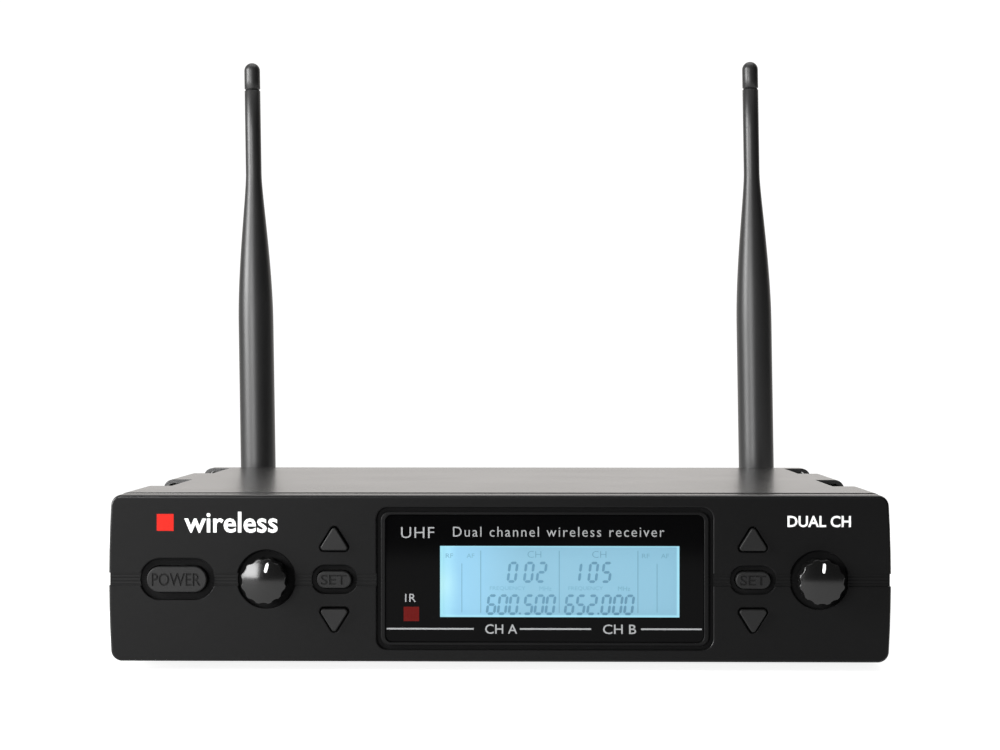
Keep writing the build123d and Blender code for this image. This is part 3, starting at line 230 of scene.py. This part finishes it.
def print_on(name, shapes, depth, material, slot, body="case", facing_back=False):
    """Lays flat shapes on an upright face at a depth, as one printed piece."""
    flats, faces, count = [], [], 0
    for flat, own_faces in shapes:
        flats.append(flat)
        faces += [[corner + count for corner in face] for face in own_faces]
        count += len(flat)
    flat = np.concatenate(flats)
    across = -flat[:, 0] if facing_back else flat[:, 0]
    points = np.stack([across, np.full(count, FACE_Y + depth), flat[:, 1] + FOOT_H], axis=1)
    return add_piece(name, points / 1000.0, faces, material, body, slot)


def ink(colour):
    """Recipe for printing ink: slightly uneven cover and sheen."""
    def recipe(place):
        spread = place.noise(2500.0)
        thin = tuple(0.88 * channel for channel in colour)
        return {"Base Color": spread.tint(thin, colour), "Roughness": 0.45 + spread * 0.1}
    return recipe


white_ink = finish_named("white_ink", ink((0.86, 0.86, 0.86)), Specular_IOR_Level=0.2)
red_ink = finish_named("red_ink", ink((0.50, 0.012, 0.006)), Specular_IOR_Level=0.1)
print_on("panel_word", [letters("wireless", -85.4, -60.0, 34.9, 40.6, 0.016)], -INK_RISE,
         white_ink, "panel_plastic")
print_on("panel_square", [bar(-92.9, -88.3, 35.4, 40.0)], -INK_RISE, red_ink, "panel_plastic")
print_on("panel_channels", [letters("DUAL CH", 78.0, 95.1, 36.6, 39.7, 0.02)], -INK_RISE,
         white_ink, "panel_plastic")


# ---------------------------------------------------------------- display lens
# Smoke-black acrylic, printed black from behind but for the clear field over the display;
# the lettering is white print on its face.
LENS_FACE = 0.2
FIELD_LEFT, FIELD_RIGHT = -16.0, 49.0
FIELD_LOW, FIELD_HIGH = 11.9, 31.4


def smoked_acrylic(place):
    inside_x = place.axis("X").between(FIELD_LEFT, FIELD_RIGHT, 0.06)
    inside_z = place.axis("Z").between(FIELD_LOW + FOOT_H, FIELD_HIGH + FOOT_H, 0.06)
    haze = place.noise(60.0)
    return {"Base Color": haze.tint((0.0012, 0.0012, 0.0013), (0.0018, 0.0018, 0.0019)),
            "Roughness": 0.06 + haze * 0.04,
            "Alpha": 1.0 - 0.95 * inside_x * inside_z}


dress(finish_named("smoked_acrylic", smoked_acrylic, Specular_IOR_Level=0.05), "display_lens")
lens_ink = finish_named("lens_ink", ink((0.27, 0.275, 0.28)), Specular_IOR_Level=0.1)
lens_print = [
    letters("UHF", -26.5, -17.5, 33.5, 36.5, -0.004, 1.1),
    letters("Dual channel wireless receiver", -12.4, 44.8, 33.9, 36.6, -0.002, 1.2),
    letters("IR", -25.4, -22.5, 16.2, 18.4, 0.004, 1.2),
    bar(-30.4, -6.8, 8.72, 9.16),
    letters("CH A", -3.7, 5.0, 7.6, 10.2, 0.006),
    bar(5.7, 25.0, 8.72, 9.16),
    letters("CH B", 28.2, 37.2, 7.6, 10.2, 0.006),
    bar(38.5, 54.9, 8.72, 9.16)]
print_on("lens_print", lens_print, LENS_FACE - INK_RISE, lens_ink, "lens")


# ---------------------------------------------------------------- display
# Liquid-crystal cell lit from its left end by a pale blue back light, so its left edge glows
# and a thin bright line runs all round. The segments are a darker blue.
def lit_cell(place):
    x = place.axis("X")
    z = place.axis("Z")
    low, high = FIELD_LOW + FOOT_H, FIELD_HIGH + FOOT_H
    along = x.rise(FIELD_LEFT, FIELD_LEFT + 26.0)
    soft = place.noise(30.0)
    glow = 1.0 - x.rise(FIELD_LEFT, FIELD_LEFT + 5.5)
    inside = x.between(FIELD_LEFT + 0.6, FIELD_RIGHT - 0.6, 0.3) * z.between(low + 0.5, high - 0.5, 0.3)
    edge = (glow * 0.8 + (1.0 - inside) * 0.75).math("MINIMUM", 1.0)
    field = along.tint((0.275, 0.61, 0.86), (0.212, 0.455, 0.605))
    hot = (1.0 - x.rise(FIELD_LEFT, FIELD_LEFT + 6.0)) * z.between(20.5, 26.0, 4.5)
    return {"Base Color": soft.tint((0.05, 0.09, 0.11), (0.06, 0.10, 0.12)),
            "Emission Color": (hot * 0.55).tint(edge.tint(field, (0.41, 0.85, 1.0)), (0.62, 1.0, 0.98)),
            "Roughness": 0.35 + soft * 0.05}


dress(finish_named("lit_cell", lit_cell, Emission_Strength=1.0), "lcd_glass")
guide_look = grained_plastic((0.6, 0.7, 0.74), (0.7, 0.78, 0.8), 0.00001, 0.3)
dress(finish_named("light_guide", guide_look), "lcd_backlight")

SEGMENTS = {"0": "abcdef", "1": "bc", "2": "abged", "5": "afgcd", "6": "afgedc"}
STROKE = 0.72
STROKE_GAP = 0.12


def digit(figure, left, low, width, height):
    """Seven-segment figure: pointed bars (hexagons) sheared to the right by an eighth."""
    half = STROKE / 2
    mid, top = height / 2, height
    ends = {"a": ((0, top), (width, top)), "b": ((width, mid), (width, top)),
            "c": ((width, 0), (width, mid)), "d": ((0, 0), (width, 0)),
            "e": ((0, 0), (0, mid)), "f": ((0, mid), (0, top)), "g": ((0, mid), (width, mid))}
    flat, faces = [], []
    for name in SEGMENTS[figure]:
        start, end = np.array(ends[name][0], float), np.array(ends[name][1], float)
        along = (end - start) / np.linalg.norm(end - start)
        across = np.array([-along[1], along[0]]) * half
        start, end = start + along * STROKE_GAP, end - along * STROKE_GAP
        inner, outer = start + along * half, end - along * half
        faces.append(list(range(len(flat), len(flat) + 6)))
        flat += [start, inner - across, outer - across, end, outer + across, inner + across]
    flat = np.array(flat)
    flat[:, 0] += flat[:, 1] / 8
    return flat + (left, low), faces


def figure_row(text, lefts, low, height):
    """Figures 2 mm wide whose left sides are at the places given."""
    return [digit(figure, left, low, 2.0, height) for figure, left in zip(text, lefts)]


def segment_finish(name, left_glow, right_glow):
    """Liquid-crystal segments lit through the cell, paler towards its left end."""
    def varied(place):
        across = place.axis("X").rise(FIELD_LEFT, FIELD_RIGHT)
        return {"Base Color": place.noise(300.0).tint((0.05, 0.10, 0.13), (0.06, 0.11, 0.15)),
                "Emission Color": across.tint(left_glow, right_glow)}
    return finish_named(name, varied, Emission_Strength=0.92, Roughness=0.4)


CELL_FACE = 3.0
LEGEND_RISE = 0.02
figures = figure_row("002", (2.4, 6.85, 10.3), 21.5, 5.05)
figures += figure_row("105", (19.8, 24.35, 28.0), 21.5, 5.05)
figures += figure_row("600500", (-3.3, -0.3, 2.7, 6.75, 9.7, 12.7), 12.75, 4.9)
figures += figure_row("652000", (17.95, 20.95, 24.05, 27.85, 31.0, 34.1), 12.75, 4.9)
figures += [bar(5.45, 5.95, 12.55, 13.05), bar(26.8, 27.3, 12.55, 13.05)]
figures += [letters("CH", 7.8, 11.5, 28.0, 29.8, -0.02), letters("CH", 25.4, 29.2, 28.0, 29.8, -0.02)]
figures += [bar(x - 0.08, x + 0.08, 13.0, 29.9) for x in (-4.95, 16.4, 37.8)]
figures += [bar(x - 0.07, x + 0.07, 13.1, 26.4) for x in (-10.1, 43.0)]
segment_blue = segment_finish("segment_blue", (0.065, 0.235, 0.37), (0.05, 0.18, 0.285))
print_on("display_figures", figures, CELL_FACE - INK_RISE, segment_blue, "lcd_glass")

legends = [letters("FREQUENCY", -2.5, 7.2, 19.0, 20.2), letters("FREQUENCY", 18.9, 28.3, 19.0, 20.2),
           letters("MHz", 11.0, 14.3, 19.0, 20.2), letters("MHz", 32.4, 35.7, 19.0, 20.2),
           letters("RF", -14.5, -12.5, 27.9, 29.1), letters("AF", -8.8, -6.7, 27.9, 29.1),
           letters("RF", 38.9, 41.0, 27.9, 29.1), letters("AF", 44.1, 46.2, 27.9, 29.1)]
faint_blue = segment_finish("faint_blue", (0.155, 0.40, 0.56), (0.115, 0.30, 0.42))
print_on("display_legends", legends, CELL_FACE - LEGEND_RISE, faint_blue, "lcd_glass")


# ---------------------------------------------------------------- infrared window
# A small square of dark red acrylic let into the lens, with the clear emitter behind it.
def red_acrylic(place):
    cloud = place.noise(400.0)
    return {"Base Color": cloud.tint((0.072, 0.002, 0.0015), (0.09, 0.003, 0.002)),
            "Roughness": 0.22 + cloud * 0.08}


dress(finish_named("red_acrylic", red_acrylic, Specular_IOR_Level=0.1), "ir_window")
resin_look = grained_plastic((0.45, 0.47, 0.55), (0.5, 0.52, 0.6), 0.000005, 0.12)
dress(finish_named("clear_resin", resin_look), "ir_emitter")


# ---------------------------------------------------------------- keys
# Caps of a slightly lighter plastic than the panel. The words are moulded into the power and
# set caps as shallow letters, cut here from the caps' own solids.
key_look = grained_plastic((0.0055, 0.0055, 0.0056), (0.0075, 0.0075, 0.0076), 0.00004, 0.42)
# A darker copy of the cap plastic: it lines the cut letters as painted shade, and it is the own colour
# of the plungers and switch bodies.
letter_shade_and_plunger_look = grained_plastic((0.004, 0.004, 0.004), (0.006, 0.006, 0.006), 0.00003, 0.6)
key_plastic = finish_named("key_plastic", key_look, Specular_IOR_Level=0.2)
letter_shade_and_plunger_plastic = finish_named("letter_shade_and_plunger_plastic", letter_shade_and_plunger_look, Specular_IOR_Level=0.2)
KEY_FACE = -1.1
WORD_DEPTH = 0.3
BLOCK_LEAD = 0.4
KEY_WORDS = {"power": ("POWER", -94.0, -80.7, 20.55, 24.05, 0.012),
             "set_a": ("SET", -48.1, -41.1, 20.95, 23.65, 0.010),
             "set_b": ("SET", 65.2, 72.2, 20.95, 23.65, 0.010)}


def welded_copy(name, source):
    """Copy of a CAD part's mesh with its loose triangles joined."""
    mesh = source.data.copy()
    mesh.name = name
    body = bmesh.new()
    body.from_mesh(mesh)
    bmesh.ops.remove_doubles(body, verts=body.verts, dist=1e-6)
    body.to_mesh(mesh)
    body.free()
    copy = bpy.data.objects.new(name, mesh)
    bpy.context.scene.collection.objects.link(copy)
    return copy


def letter_block(words, left, right, low, high, bold):
    """Solid block of type: the flat letters carried back from before the face into the cap."""
    flat, faces = letters(words, left, right, low, high, bold)
    start = np.full(len(flat), FACE_Y + KEY_FACE - BLOCK_LEAD)
    front = np.stack([flat[:, 0], start, flat[:, 1] + FOOT_H], axis=1)
    mesh = bpy.data.meshes.new("type_block")
    mesh.from_pydata((front / 1000.0).tolist(), [], faces)
    block = bmesh.new()
    block.from_mesh(mesh)
    bmesh.ops.remove_doubles(block, verts=block.verts, dist=1e-7)
    carried = bmesh.ops.extrude_face_region(block, geom=block.faces[:])["geom"]
    moved = [item for item in carried if isinstance(item, bmesh.types.BMVert)]
    bmesh.ops.translate(block, verts=moved, vec=(0, (BLOCK_LEAD + WORD_DEPTH) / 1000.0, 0))
    bmesh.ops.recalc_face_normals(block, faces=block.faces)
    block.to_mesh(mesh)
    block.free()
    mesh.materials.append(letter_shade_and_plunger_plastic)
    cutter = bpy.data.objects.new("type_block", mesh)
    bpy.context.scene.collection.objects.link(cutter)
    return cutter


for key, word in KEY_WORDS.items():
    cap = welded_copy(f"{key}_cap", parts[f"{key}_key"])
    cap.data.materials.clear()
    cap.data.materials.append(key_plastic)
    cutter = letter_block(*word)
    cut = cap.modifiers.new("letters", "BOOLEAN")
    cut.operation = "DIFFERENCE"
    cut.solver = "EXACT"
    # The walls and floors of the cut letters take the darker plastic: painted shade in them.
    cut.material_mode = "TRANSFER"
    cut.object = cutter
    graph = bpy.context.evaluated_depsgraph_get()
    lettered = bpy.data.meshes.new_from_object(cap.evaluated_get(graph))
    cap.modifiers.clear()
    cap.data = lettered
    bpy.data.objects.remove(cutter)
    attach(cap, f"{key}_button")
    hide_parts(f"{key}_key")
dress(key_plastic, "up_a_key", "down_a_key", "up_b_key", "down_b_key")
dress(letter_shade_and_plunger_plastic, "power_plunger", "up_a_plunger", "set_a_plunger", "down_a_plunger",
      "up_b_plunger", "set_b_plunger", "down_b_plunger", "switch_bodies")


# ---------------------------------------------------------------- volume knobs
# Polished black knobs with twelve scallops, a low dome and a white filled pointer.
KNOB_PLACES = {"a": (-63.1, 22.3, 13.0), "b": (86.6, 22.3, 6.0)}
KNOB_R = 6.15
KNOB_FRONT = -6.5
KNOB_REAR = 0.6
DOME_R = 24.04
SCALLOP_R = 2.4
SCALLOP_OUT = 8.17
KNOB_EDGE = 0.32
SCALLOPS = 12


def scallops(turn):
    """Outline radius by angle: the knob's circle, or the nearest scallop circle if nearer."""
    pitch = 2 * np.pi / SCALLOPS
    off = (turn + pitch / 2) % pitch - pitch / 2
    inside = np.maximum(SCALLOP_R ** 2 - (SCALLOP_OUT * np.sin(off)) ** 2, 0)
    cut = np.where(inside > 0, SCALLOP_OUT * np.cos(off) - np.sqrt(inside), 99)
    return np.minimum(KNOB_R, cut)


def dome_depth(radius):
    """Depth of the dome at a radius: a sphere whose top is the front of the knob."""
    return KNOB_FRONT + DOME_R - np.sqrt(DOME_R ** 2 - radius ** 2)


def skin(grid):
    """Closed skin over rings of points: row by row round an axis, with single points at its ends."""
    rows, around, _ = grid.shape
    inner = grid[1:-1].reshape(-1, 3)
    points = np.concatenate([grid[:1, 0], inner, grid[-1:, 0]])
    ring = np.arange((rows - 2) * around).reshape(rows - 2, around) + 1
    after = np.roll(ring, -1, axis=1)
    quads = np.stack([ring[:-1], ring[1:], after[1:], after[:-1]], axis=-1).reshape(-1, 4)
    first = np.stack([np.zeros(around, int), ring[0], after[0]], axis=-1)
    last = np.stack([np.full(around, len(points) - 1), after[-1], ring[-1]], axis=-1)
    return points, quads.tolist() + first.tolist() + last.tolist()


def knob_skin(x, height):
    """Dome, rounded edge, scalloped side and flat back, all scaled by the outline's radius."""
    turn = np.linspace(0, 2 * np.pi, 360, endpoint=False)
    outline = scallops(turn)
    share = np.linspace(0, 1, 16)[:, None]
    dome = share * (outline - KNOB_EDGE)
    round_off = np.linspace(0, np.pi / 2, 6)[1:, None]
    edge = outline - KNOB_EDGE + KNOB_EDGE * np.sin(round_off)
    edge_depth = dome_depth(outline - KNOB_EDGE) + KNOB_EDGE * (1 - np.cos(round_off))
    side_depth = np.array([-3.5, -1.0, KNOB_REAR])[:, None] + 0 * outline
    side = outline + 0 * side_depth
    back = np.array([0.5, 0.0])[:, None] * outline
    radius = np.concatenate([dome, edge, side, back])
    depth = np.concatenate([dome_depth(dome), edge_depth, side_depth, KNOB_REAR + 0 * back])
    across = x + radius * np.sin(turn)
    up = height + radius * np.cos(turn)
    return skin(np.stack([across, FACE_Y + depth, up + FOOT_H], axis=-1) / 1000.0)


def pointer(x, height, angle):
    """Strip of paint on the dome, narrowed to round ends, from 2.4 to 5.1 mm off the axis."""
    along = np.linspace(0, 1, 15)
    half = 0.42 * np.sqrt(1 - np.abs(2 * along - 1) ** 6)
    sideways = np.linspace(-1, 1, 5)[:, None] * half
    outwards = 2.4 + 2.7 * along + 0 * sideways
    depth = dome_depth(np.hypot(sideways, outwards)) - INK_RISE
    c, s = math.cos(math.radians(angle)), math.sin(math.radians(angle))
    across = x + outwards * s + sideways * c
    up = height + outwards * c - sideways * s
    grid = np.stack([across, FACE_Y + depth, up + FOOT_H], axis=-1) / 1000.0
    number = np.arange(depth.size).reshape(depth.shape)
    faces = np.stack([number[:-1, :-1], number[:-1, 1:], number[1:, 1:], number[1:, :-1]], axis=-1)
    return grid.reshape(-1, 3), faces.reshape(-1, 4).tolist()


def polished_black(place):
    haze = place.noise(90.0)
    return {"Base Color": haze.tint((0.004, 0.004, 0.004), (0.006, 0.006, 0.006)),
            "Roughness": 0.13 + haze * 0.06}


knob_black = finish_named("knob_black", polished_black, Specular_IOR_Level=0.42)
pointer_white = finish_named("pointer_white", ink((0.9, 0.9, 0.9)))
for channel, (x, height, angle) in KNOB_PLACES.items():
    knob = add_piece(f"knob_{channel}", *knob_skin(x, height), knob_black,
                     f"volume_{channel}", "knob_plastic", smooth=True)
    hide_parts(f"volume_knob_{channel}")
    add_piece(f"pointer_{channel}", *pointer(x, height, angle), pointer_white,
              f"volume_{channel}", "knob_plastic", smooth=True)


# ---------------------------------------------------------------- antennas
# Whips moulded in smooth black elastomer: a full barrel, a long taper, a slim end and a cap.
# Knuckle and fork are the same black; the bayonet rings are nickel-plated.
ANTENNA_X = 90.4
ANTENNA_H = 27.0
PIVOT_DEPTH = 184.68
WHIP_LEAN = math.radians(0.9)
WHIP_TOP = 164.32
SLIM_R = 2.84
BARREL_R = 6.3
CAP_LEN = 10.1
SHOULDER_UP = 6.7
TONGUE_OVERLAP = 0.3


def turned(x, radius, up):
    """Profile turned round the whip's leaning axis: radius and distance up from the pivot."""
    turn = np.linspace(0, 2 * np.pi, 72, endpoint=False)
    across = radius[:, None] * np.cos(turn)
    depth = PIVOT_DEPTH - radius[:, None] * np.sin(turn)
    up = up[:, None] + 0 * turn
    c, s = math.cos(WHIP_LEAN), math.sin(WHIP_LEAN)
    height = ANTENNA_H + FOOT_H + across * s + up * c
    grid = np.stack([x + across * c - up * s, FACE_Y + depth, height], axis=-1)
    return skin(grid[::-1] / 1000.0)


def whip_profile():
    """Straight barrel, a taper on a cubic Bezier curve, and the slim end up to the cap."""
    t = np.linspace(0, 1, 40)
    slim_from = WHIP_TOP - 40.0
    control = np.array([(BARREL_R, slim_from - 55.0), (BARREL_R, slim_from - 32.6),
                        (SLIM_R, slim_from - 8.3), (SLIM_R, slim_from)])
    weights = np.stack([(1 - t) ** 3, 3 * t * (1 - t) ** 2, 3 * t ** 2 * (1 - t), t ** 3], axis=1)
    taper = weights @ control
    foot = np.array([(0, 0), (5.7, 0), (6.05, 0.1), (6.2, 0.25),
                     (BARREL_R, 0.6), (BARREL_R, 14), (BARREL_R, 40)])
    foot[:, 1] += SHOULDER_UP
    neck = WHIP_TOP - CAP_LEN
    tip = np.array([(SLIM_R, WHIP_TOP - 25), (SLIM_R, neck - 0.1), (SLIM_R - 0.1, neck), (0, neck)])
    return np.concatenate([foot, taper, tip])


def cap_profile():
    """Neck of the groove, a straight skirt and a round end."""
    t = np.linspace(0, np.pi / 2, 14)
    groove = SLIM_R - 0.35
    skirt = np.array([(0, 0), (groove, 0), (groove, 0.55),
                      (SLIM_R - 0.12, 0.6), (SLIM_R, 0.72), (SLIM_R, 4.0)])
    skirt[:, 1] += WHIP_TOP - CAP_LEN
    end = np.stack([SLIM_R * np.cos(t), WHIP_TOP - SLIM_R + SLIM_R * np.sin(t)], axis=1)
    return np.concatenate([skirt, end])


def cut_above(mesh, x):
    """Leaves of a CAD whip only its tongue, up to just inside the turned rod."""
    s, c = math.sin(WHIP_LEAN), math.cos(WHIP_LEAN)
    up = SHOULDER_UP + TONGUE_OVERLAP
    middle = np.array([x - up * s, FACE_Y + PIVOT_DEPTH, ANTENNA_H + FOOT_H + up * c]) / 1000.0
    body = bmesh.new()
    body.from_mesh(mesh)
    geometry = body.verts[:] + body.edges[:] + body.faces[:]
    bmesh.ops.bisect_plane(body, geom=geometry, plane_co=middle, plane_no=(-s, 0, c), clear_outer=True)
    body.to_mesh(mesh)
    body.free()


def elastomer(place):
    skin_grit = place.noise(1500.0, 3.0)
    cloud = place.noise(40.0, 3.0)
    return {"Base Color": cloud.tint((0.0125, 0.0125, 0.0128), (0.017, 0.017, 0.017)),
            "Roughness": 0.34 + cloud * 0.08 + skin_grit * 0.06,
            "Normal": skin_grit.bump(0.00003, 0.4)}


def nickel_plate(place):
    cloud = place.noise(500.0, 3.0)
    return {"Base Color": cloud.tint((0.60, 0.57, 0.52), (0.70, 0.67, 0.62)),
            "Roughness": 0.22 + cloud * 0.12}


antenna_black = finish_named("antenna_black", elastomer)
nickel = finish_named("nickel_plate", nickel_plate, Metallic=1.0)
for letter, x in (("a", -ANTENNA_X), ("b", ANTENNA_X)):
    rod = whip_profile()
    whip = add_piece(f"whip_rod_{letter}", *turned(x, rod[:, 0], rod[:, 1]), antenna_black,
                     f"whip_{letter}", "antenna_black", smooth=True)
    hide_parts(f"antenna_whip_{letter}")
    tongue = welded_copy(f"whip_tongue_{letter}", parts[f"antenna_whip_{letter}"])
    cut_above(tongue.data, x)
    tongue.data.materials.clear()
    tongue.data.materials.append(antenna_black)
    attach(tongue, f"whip_{letter}")
    cap = cap_profile()
    tip = add_piece(f"whip_cap_{letter}", *turned(x, cap[:, 0], cap[:, 1]), antenna_black,
                    f"whip_{letter}", "antenna_black", smooth=True)
    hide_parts(f"antenna_tip_{letter}")
    dress(antenna_black, f"antenna_knuckle_{letter}")
    dress(nickel, f"bayonet_ring_{letter}", f"tilt_pin_{letter}")
dress(nickel, "antenna_sockets", "socket_nuts", "mix_jack_nut")


# ---------------------------------------------------------------- sockets on the back
# Satin black die-cast output sockets with gold-plated pins, a plastic jack and a power inlet;
# their names are printed in white on the wall beside them.
REAR_WALL = 160.0
satin_look = grained_plastic((0.010, 0.010, 0.0105), (0.015, 0.015, 0.015), 0.00003, 0.30)
moulded_look = grained_plastic((0.012, 0.012, 0.012), (0.018, 0.018, 0.018), 0.00002, 0.42)
satin_black = finish_named("satin_black", satin_look)
moulded_black = finish_named("moulded_black", moulded_look)


def gold_plate(place):
    cloud = place.noise(800.0)
    return {"Base Color": cloud.tint((0.78, 0.52, 0.18), (0.90, 0.62, 0.24)),
            "Roughness": 0.2 + cloud * 0.1}


dress(satin_black, "xlr_sockets")
dress(moulded_black, "mix_jack", "dc_inlet", "chips", "regulator", "coax_jumpers")
dress(finish_named("gold_plate", gold_plate, Metallic=1.0), "xlr_pins")
back_print = [
    letters("ANT B", -93.6, -87.2, 36.2, 38.2, 0.01),
    letters("ANT A", 87.2, 93.6, 36.2, 38.2, 0.01),
    letters("DC IN", -61.2, -54.8, 24.0, 26.0, 0.01),
    letters("OUTPUT B", -21.5, -10.5, 40.6, 42.4, 0.01),
    letters("OUTPUT A", 50.5, 61.5, 40.6, 42.4, 0.01),
    letters("MIX", 17.8, 22.2, 26.0, 28.0, 0.01)]
print_on("back_print", back_print, REAR_WALL + INK_RISE, white_ink, "case_paint", facing_back=True)


# ---------------------------------------------------------------- screws and feet
# Black-oxidised steel screws outside, zinc-plated ones on the boards, and four rubber feet.
def black_oxide(place):
    cloud = place.noise(900.0, 3.0)
    return {"Base Color": cloud.tint((0.02, 0.02, 0.021), (0.045, 0.044, 0.043)),
            "Roughness": 0.33 + cloud * 0.15}


def zinc_plate(place):
    cloud = place.noise(600.0, 3.0)
    return {"Base Color": cloud.tint((0.50, 0.51, 0.53), (0.62, 0.63, 0.64)),
            "Roughness": 0.28 + cloud * 0.15}


dress(finish_named("black_oxide", black_oxide, Metallic=0.8), "case_screws", "xlr_screws")
dress(finish_named("zinc_plate", zinc_plate, Metallic=1.0), "board_screws", "volume_pots",
      "volume_shaft_a", "volume_shaft_b", "tuner_cans")
rubber_look = grained_plastic((0.014, 0.014, 0.014), (0.022, 0.022, 0.022), 0.00006, 0.7)
dress(finish_named("foot_rubber", rubber_look), "feet")


# ---------------------------------------------------------------- boards and what they carry
# Green boards with the copper showing faintly through the mask, and their usual parts.
def solder_mask(place):
    bricks = {"Vector": place, "Scale": 260.0, "Mortar Size": 0.03}
    tracks = place.node("ShaderNodeTexBrick", None, bricks, "Fac")
    cloud = place.noise(120.0)
    look = (tracks * 0.6 + cloud * 0.4).tint((0.006, 0.055, 0.020), (0.012, 0.105, 0.036))
    return {"Base Color": look, "Roughness": 0.3 + cloud * 0.1, "Normal": tracks.bump(0.00003, 0.5)}


def raw_aluminium(place):
    stretched = {"Vector": place, "Scale": (1.0, 1.0, 0.02)}
    drawn = place.node("ShaderNodeMapping", None, stretched).noise(4000.0)
    return {"Base Color": drawn.tint((0.55, 0.55, 0.56), (0.68, 0.68, 0.69)),
            "Roughness": 0.3 + drawn * 0.15}


def ribbon_wires(place):
    wave = place.axis("X") * (2 * math.pi / 1.27)
    ridge = wave.math("SINE") * 0.5 + 0.5
    # The crests are painted lighter and the valleys between the wires darker: painted shade.
    return {"Base Color": ridge.tint((0.20, 0.20, 0.21), (0.33, 0.33, 0.34)),
            "Roughness": 0.45 + ridge * 0.05, "Normal": ridge.bump(0.0003, 0.5)}


def turned_brass(place):
    cloud = place.noise(700.0)
    return {"Base Color": cloud.tint((0.55, 0.38, 0.14), (0.66, 0.47, 0.19)),
            "Roughness": 0.25 + cloud * 0.12}


dress(finish_named("solder_mask", solder_mask), "front_board", "main_board")
dress(finish_named("raw_aluminium", raw_aluminium, Metallic=1.0), "heat_sink")
dress(finish_named("ribbon_wires", ribbon_wires), "ribbon_cable")
dress(finish_named("turned_brass", turned_brass, Metallic=1.0), "standoffs")
cream_look = grained_plastic((0.55, 0.52, 0.44), (0.65, 0.62, 0.53), 0.00001, 0.4)
dress(finish_named("header_cream", cream_look), "board_headers")
sleeve_look = grained_plastic((0.008, 0.010, 0.03), (0.012, 0.015, 0.04), 0.00001, 0.25)
dress(finish_named("capacitor_sleeve", sleeve_look), "capacitors")


# ---------------------------------------------------------------- floor, light and camera
# A white table top that fades into the backdrop, a soft box at the upper left in front, a
# strip at the left for the antennas and a wide one overhead.
def table_top():
    """Flat disc: rings of points at growing radii round the object's middle."""
    turn = np.linspace(0, 2 * np.pi, 96, endpoint=False)
    radius = np.array([0.0, 0.15, 0.30, 0.45, 0.60])[:, None]
    grid = np.stack([radius * np.cos(turn), radius * np.sin(turn), 0 * radius * turn], axis=-1)
    number = np.arange(radius.size * turn.size).reshape(radius.size, turn.size)
    after = np.roll(number, -1, axis=1)
    faces = np.stack([number[:-1], number[1:], after[1:], after[:-1]], axis=-1).reshape(-1, 4)
    return grid.reshape(-1, 3), faces.tolist()


table_white = bpy.data.materials.new("table_white")
table_white.use_nodes = True
table_white.node_tree.nodes.clear()
spot = Shade(table_white.node_tree).node("ShaderNodeTexCoord", None, None, "Object")
distance = spot.node("ShaderNodeVectorMath", {"operation": "LENGTH"}, {0: spot}, "Value")
lacquer = {"Base Color": (0.35, 0.35, 0.35, 1.0), "Roughness": 0.7,
           "Emission Color": (1.0, 1.0, 1.0, 1.0), "Emission Strength": 0.86}
matt = spot.node("ShaderNodeBsdfPrincipled", None, lacquer)
gone = spot.node("ShaderNodeBsdfTransparent")
faded = spot.node("ShaderNodeMixShader", None, {0: distance.rise(0.40, 0.50), 1: matt, 2: gone})
spot.node("ShaderNodeOutputMaterial", None, {"Surface": faded})
table_mesh = bpy.data.meshes.new("table_top")
table_points, table_faces = table_top()
table_mesh.from_pydata(table_points.tolist(), [], table_faces)
table_mesh.materials.append(table_white)
table = bpy.data.objects.new("table_top", table_mesh)
bpy.context.scene.collection.objects.link(table)

world = bpy.data.worlds.new("studio")
world.use_nodes = True
world.node_tree.nodes.clear()
sky = Shade(world.node_tree).node("ShaderNodeTexCoord", None, None, "Generated")
behind = sky.node("ShaderNodeSeparateXYZ", None, {"Vector": sky}, "Y").rise(0.30, 0.85)
above = sky.node("ShaderNodeSeparateXYZ", None, {"Vector": sky}, "Z").rise(0.3, 0.95)
room = (behind + above * 0.2 + 0.012).tint((0.0, 0.0, 0.0), (1.0, 0.967, 0.935))
seen = sky.node("ShaderNodeLightPath", None, None, "Is Camera Ray")
backdrop = seen.tint(room, (1.0, 1.0, 1.0))
glow = sky.node("ShaderNodeBackground", None, {"Color": backdrop, "Strength": 1.08})
sky.node("ShaderNodeOutputWorld", None, {"Surface": glow})
bpy.context.scene.world = world
bpy.context.scene.view_settings.view_transform = "Standard"


def soft_box(name, place, target, width, height, watts):
    """Area light aimed at a point."""
    lamp = bpy.data.lights.new(name, "AREA")
    lamp.shape = "RECTANGLE"
    lamp.size, lamp.size_y, lamp.energy = width, height, watts
    box = bpy.data.objects.new(name, lamp)
    box.location = place
    aim = np.array(target) - np.array(place)
    flat = math.hypot(aim[0], aim[1])
    box.rotation_euler = (math.atan2(flat, -aim[2]), 0, math.atan2(aim[1], aim[0]) - math.pi / 2)
    bpy.context.scene.collection.objects.link(box)


soft_box("front_light", (-0.50, -1.00, 0.18), (-0.05, -0.09, 0.05), 0.40, 0.34, 9.0)
soft_box("left_light", (-0.82, -0.34, 0.32), (0.0, 0.08, 0.12), 0.36, 0.50, 15.0)
soft_box("top_light", (0.0, 0.15, 1.30), (0.0, 0.0, 0.0), 1.2, 1.0, 8.0)

camera = bpy.data.objects.new("camera", bpy.data.cameras.new("camera"))
camera.data.lens = 72.06
camera.data.clip_start = 0.01
camera.location = (0.00935, -0.63424, 0.07984)
camera.rotation_euler = (math.radians(90.04), 0, math.radians(0.953))
bpy.context.scene.collection.objects.link(camera)
bpy.context.scene.camera = camera
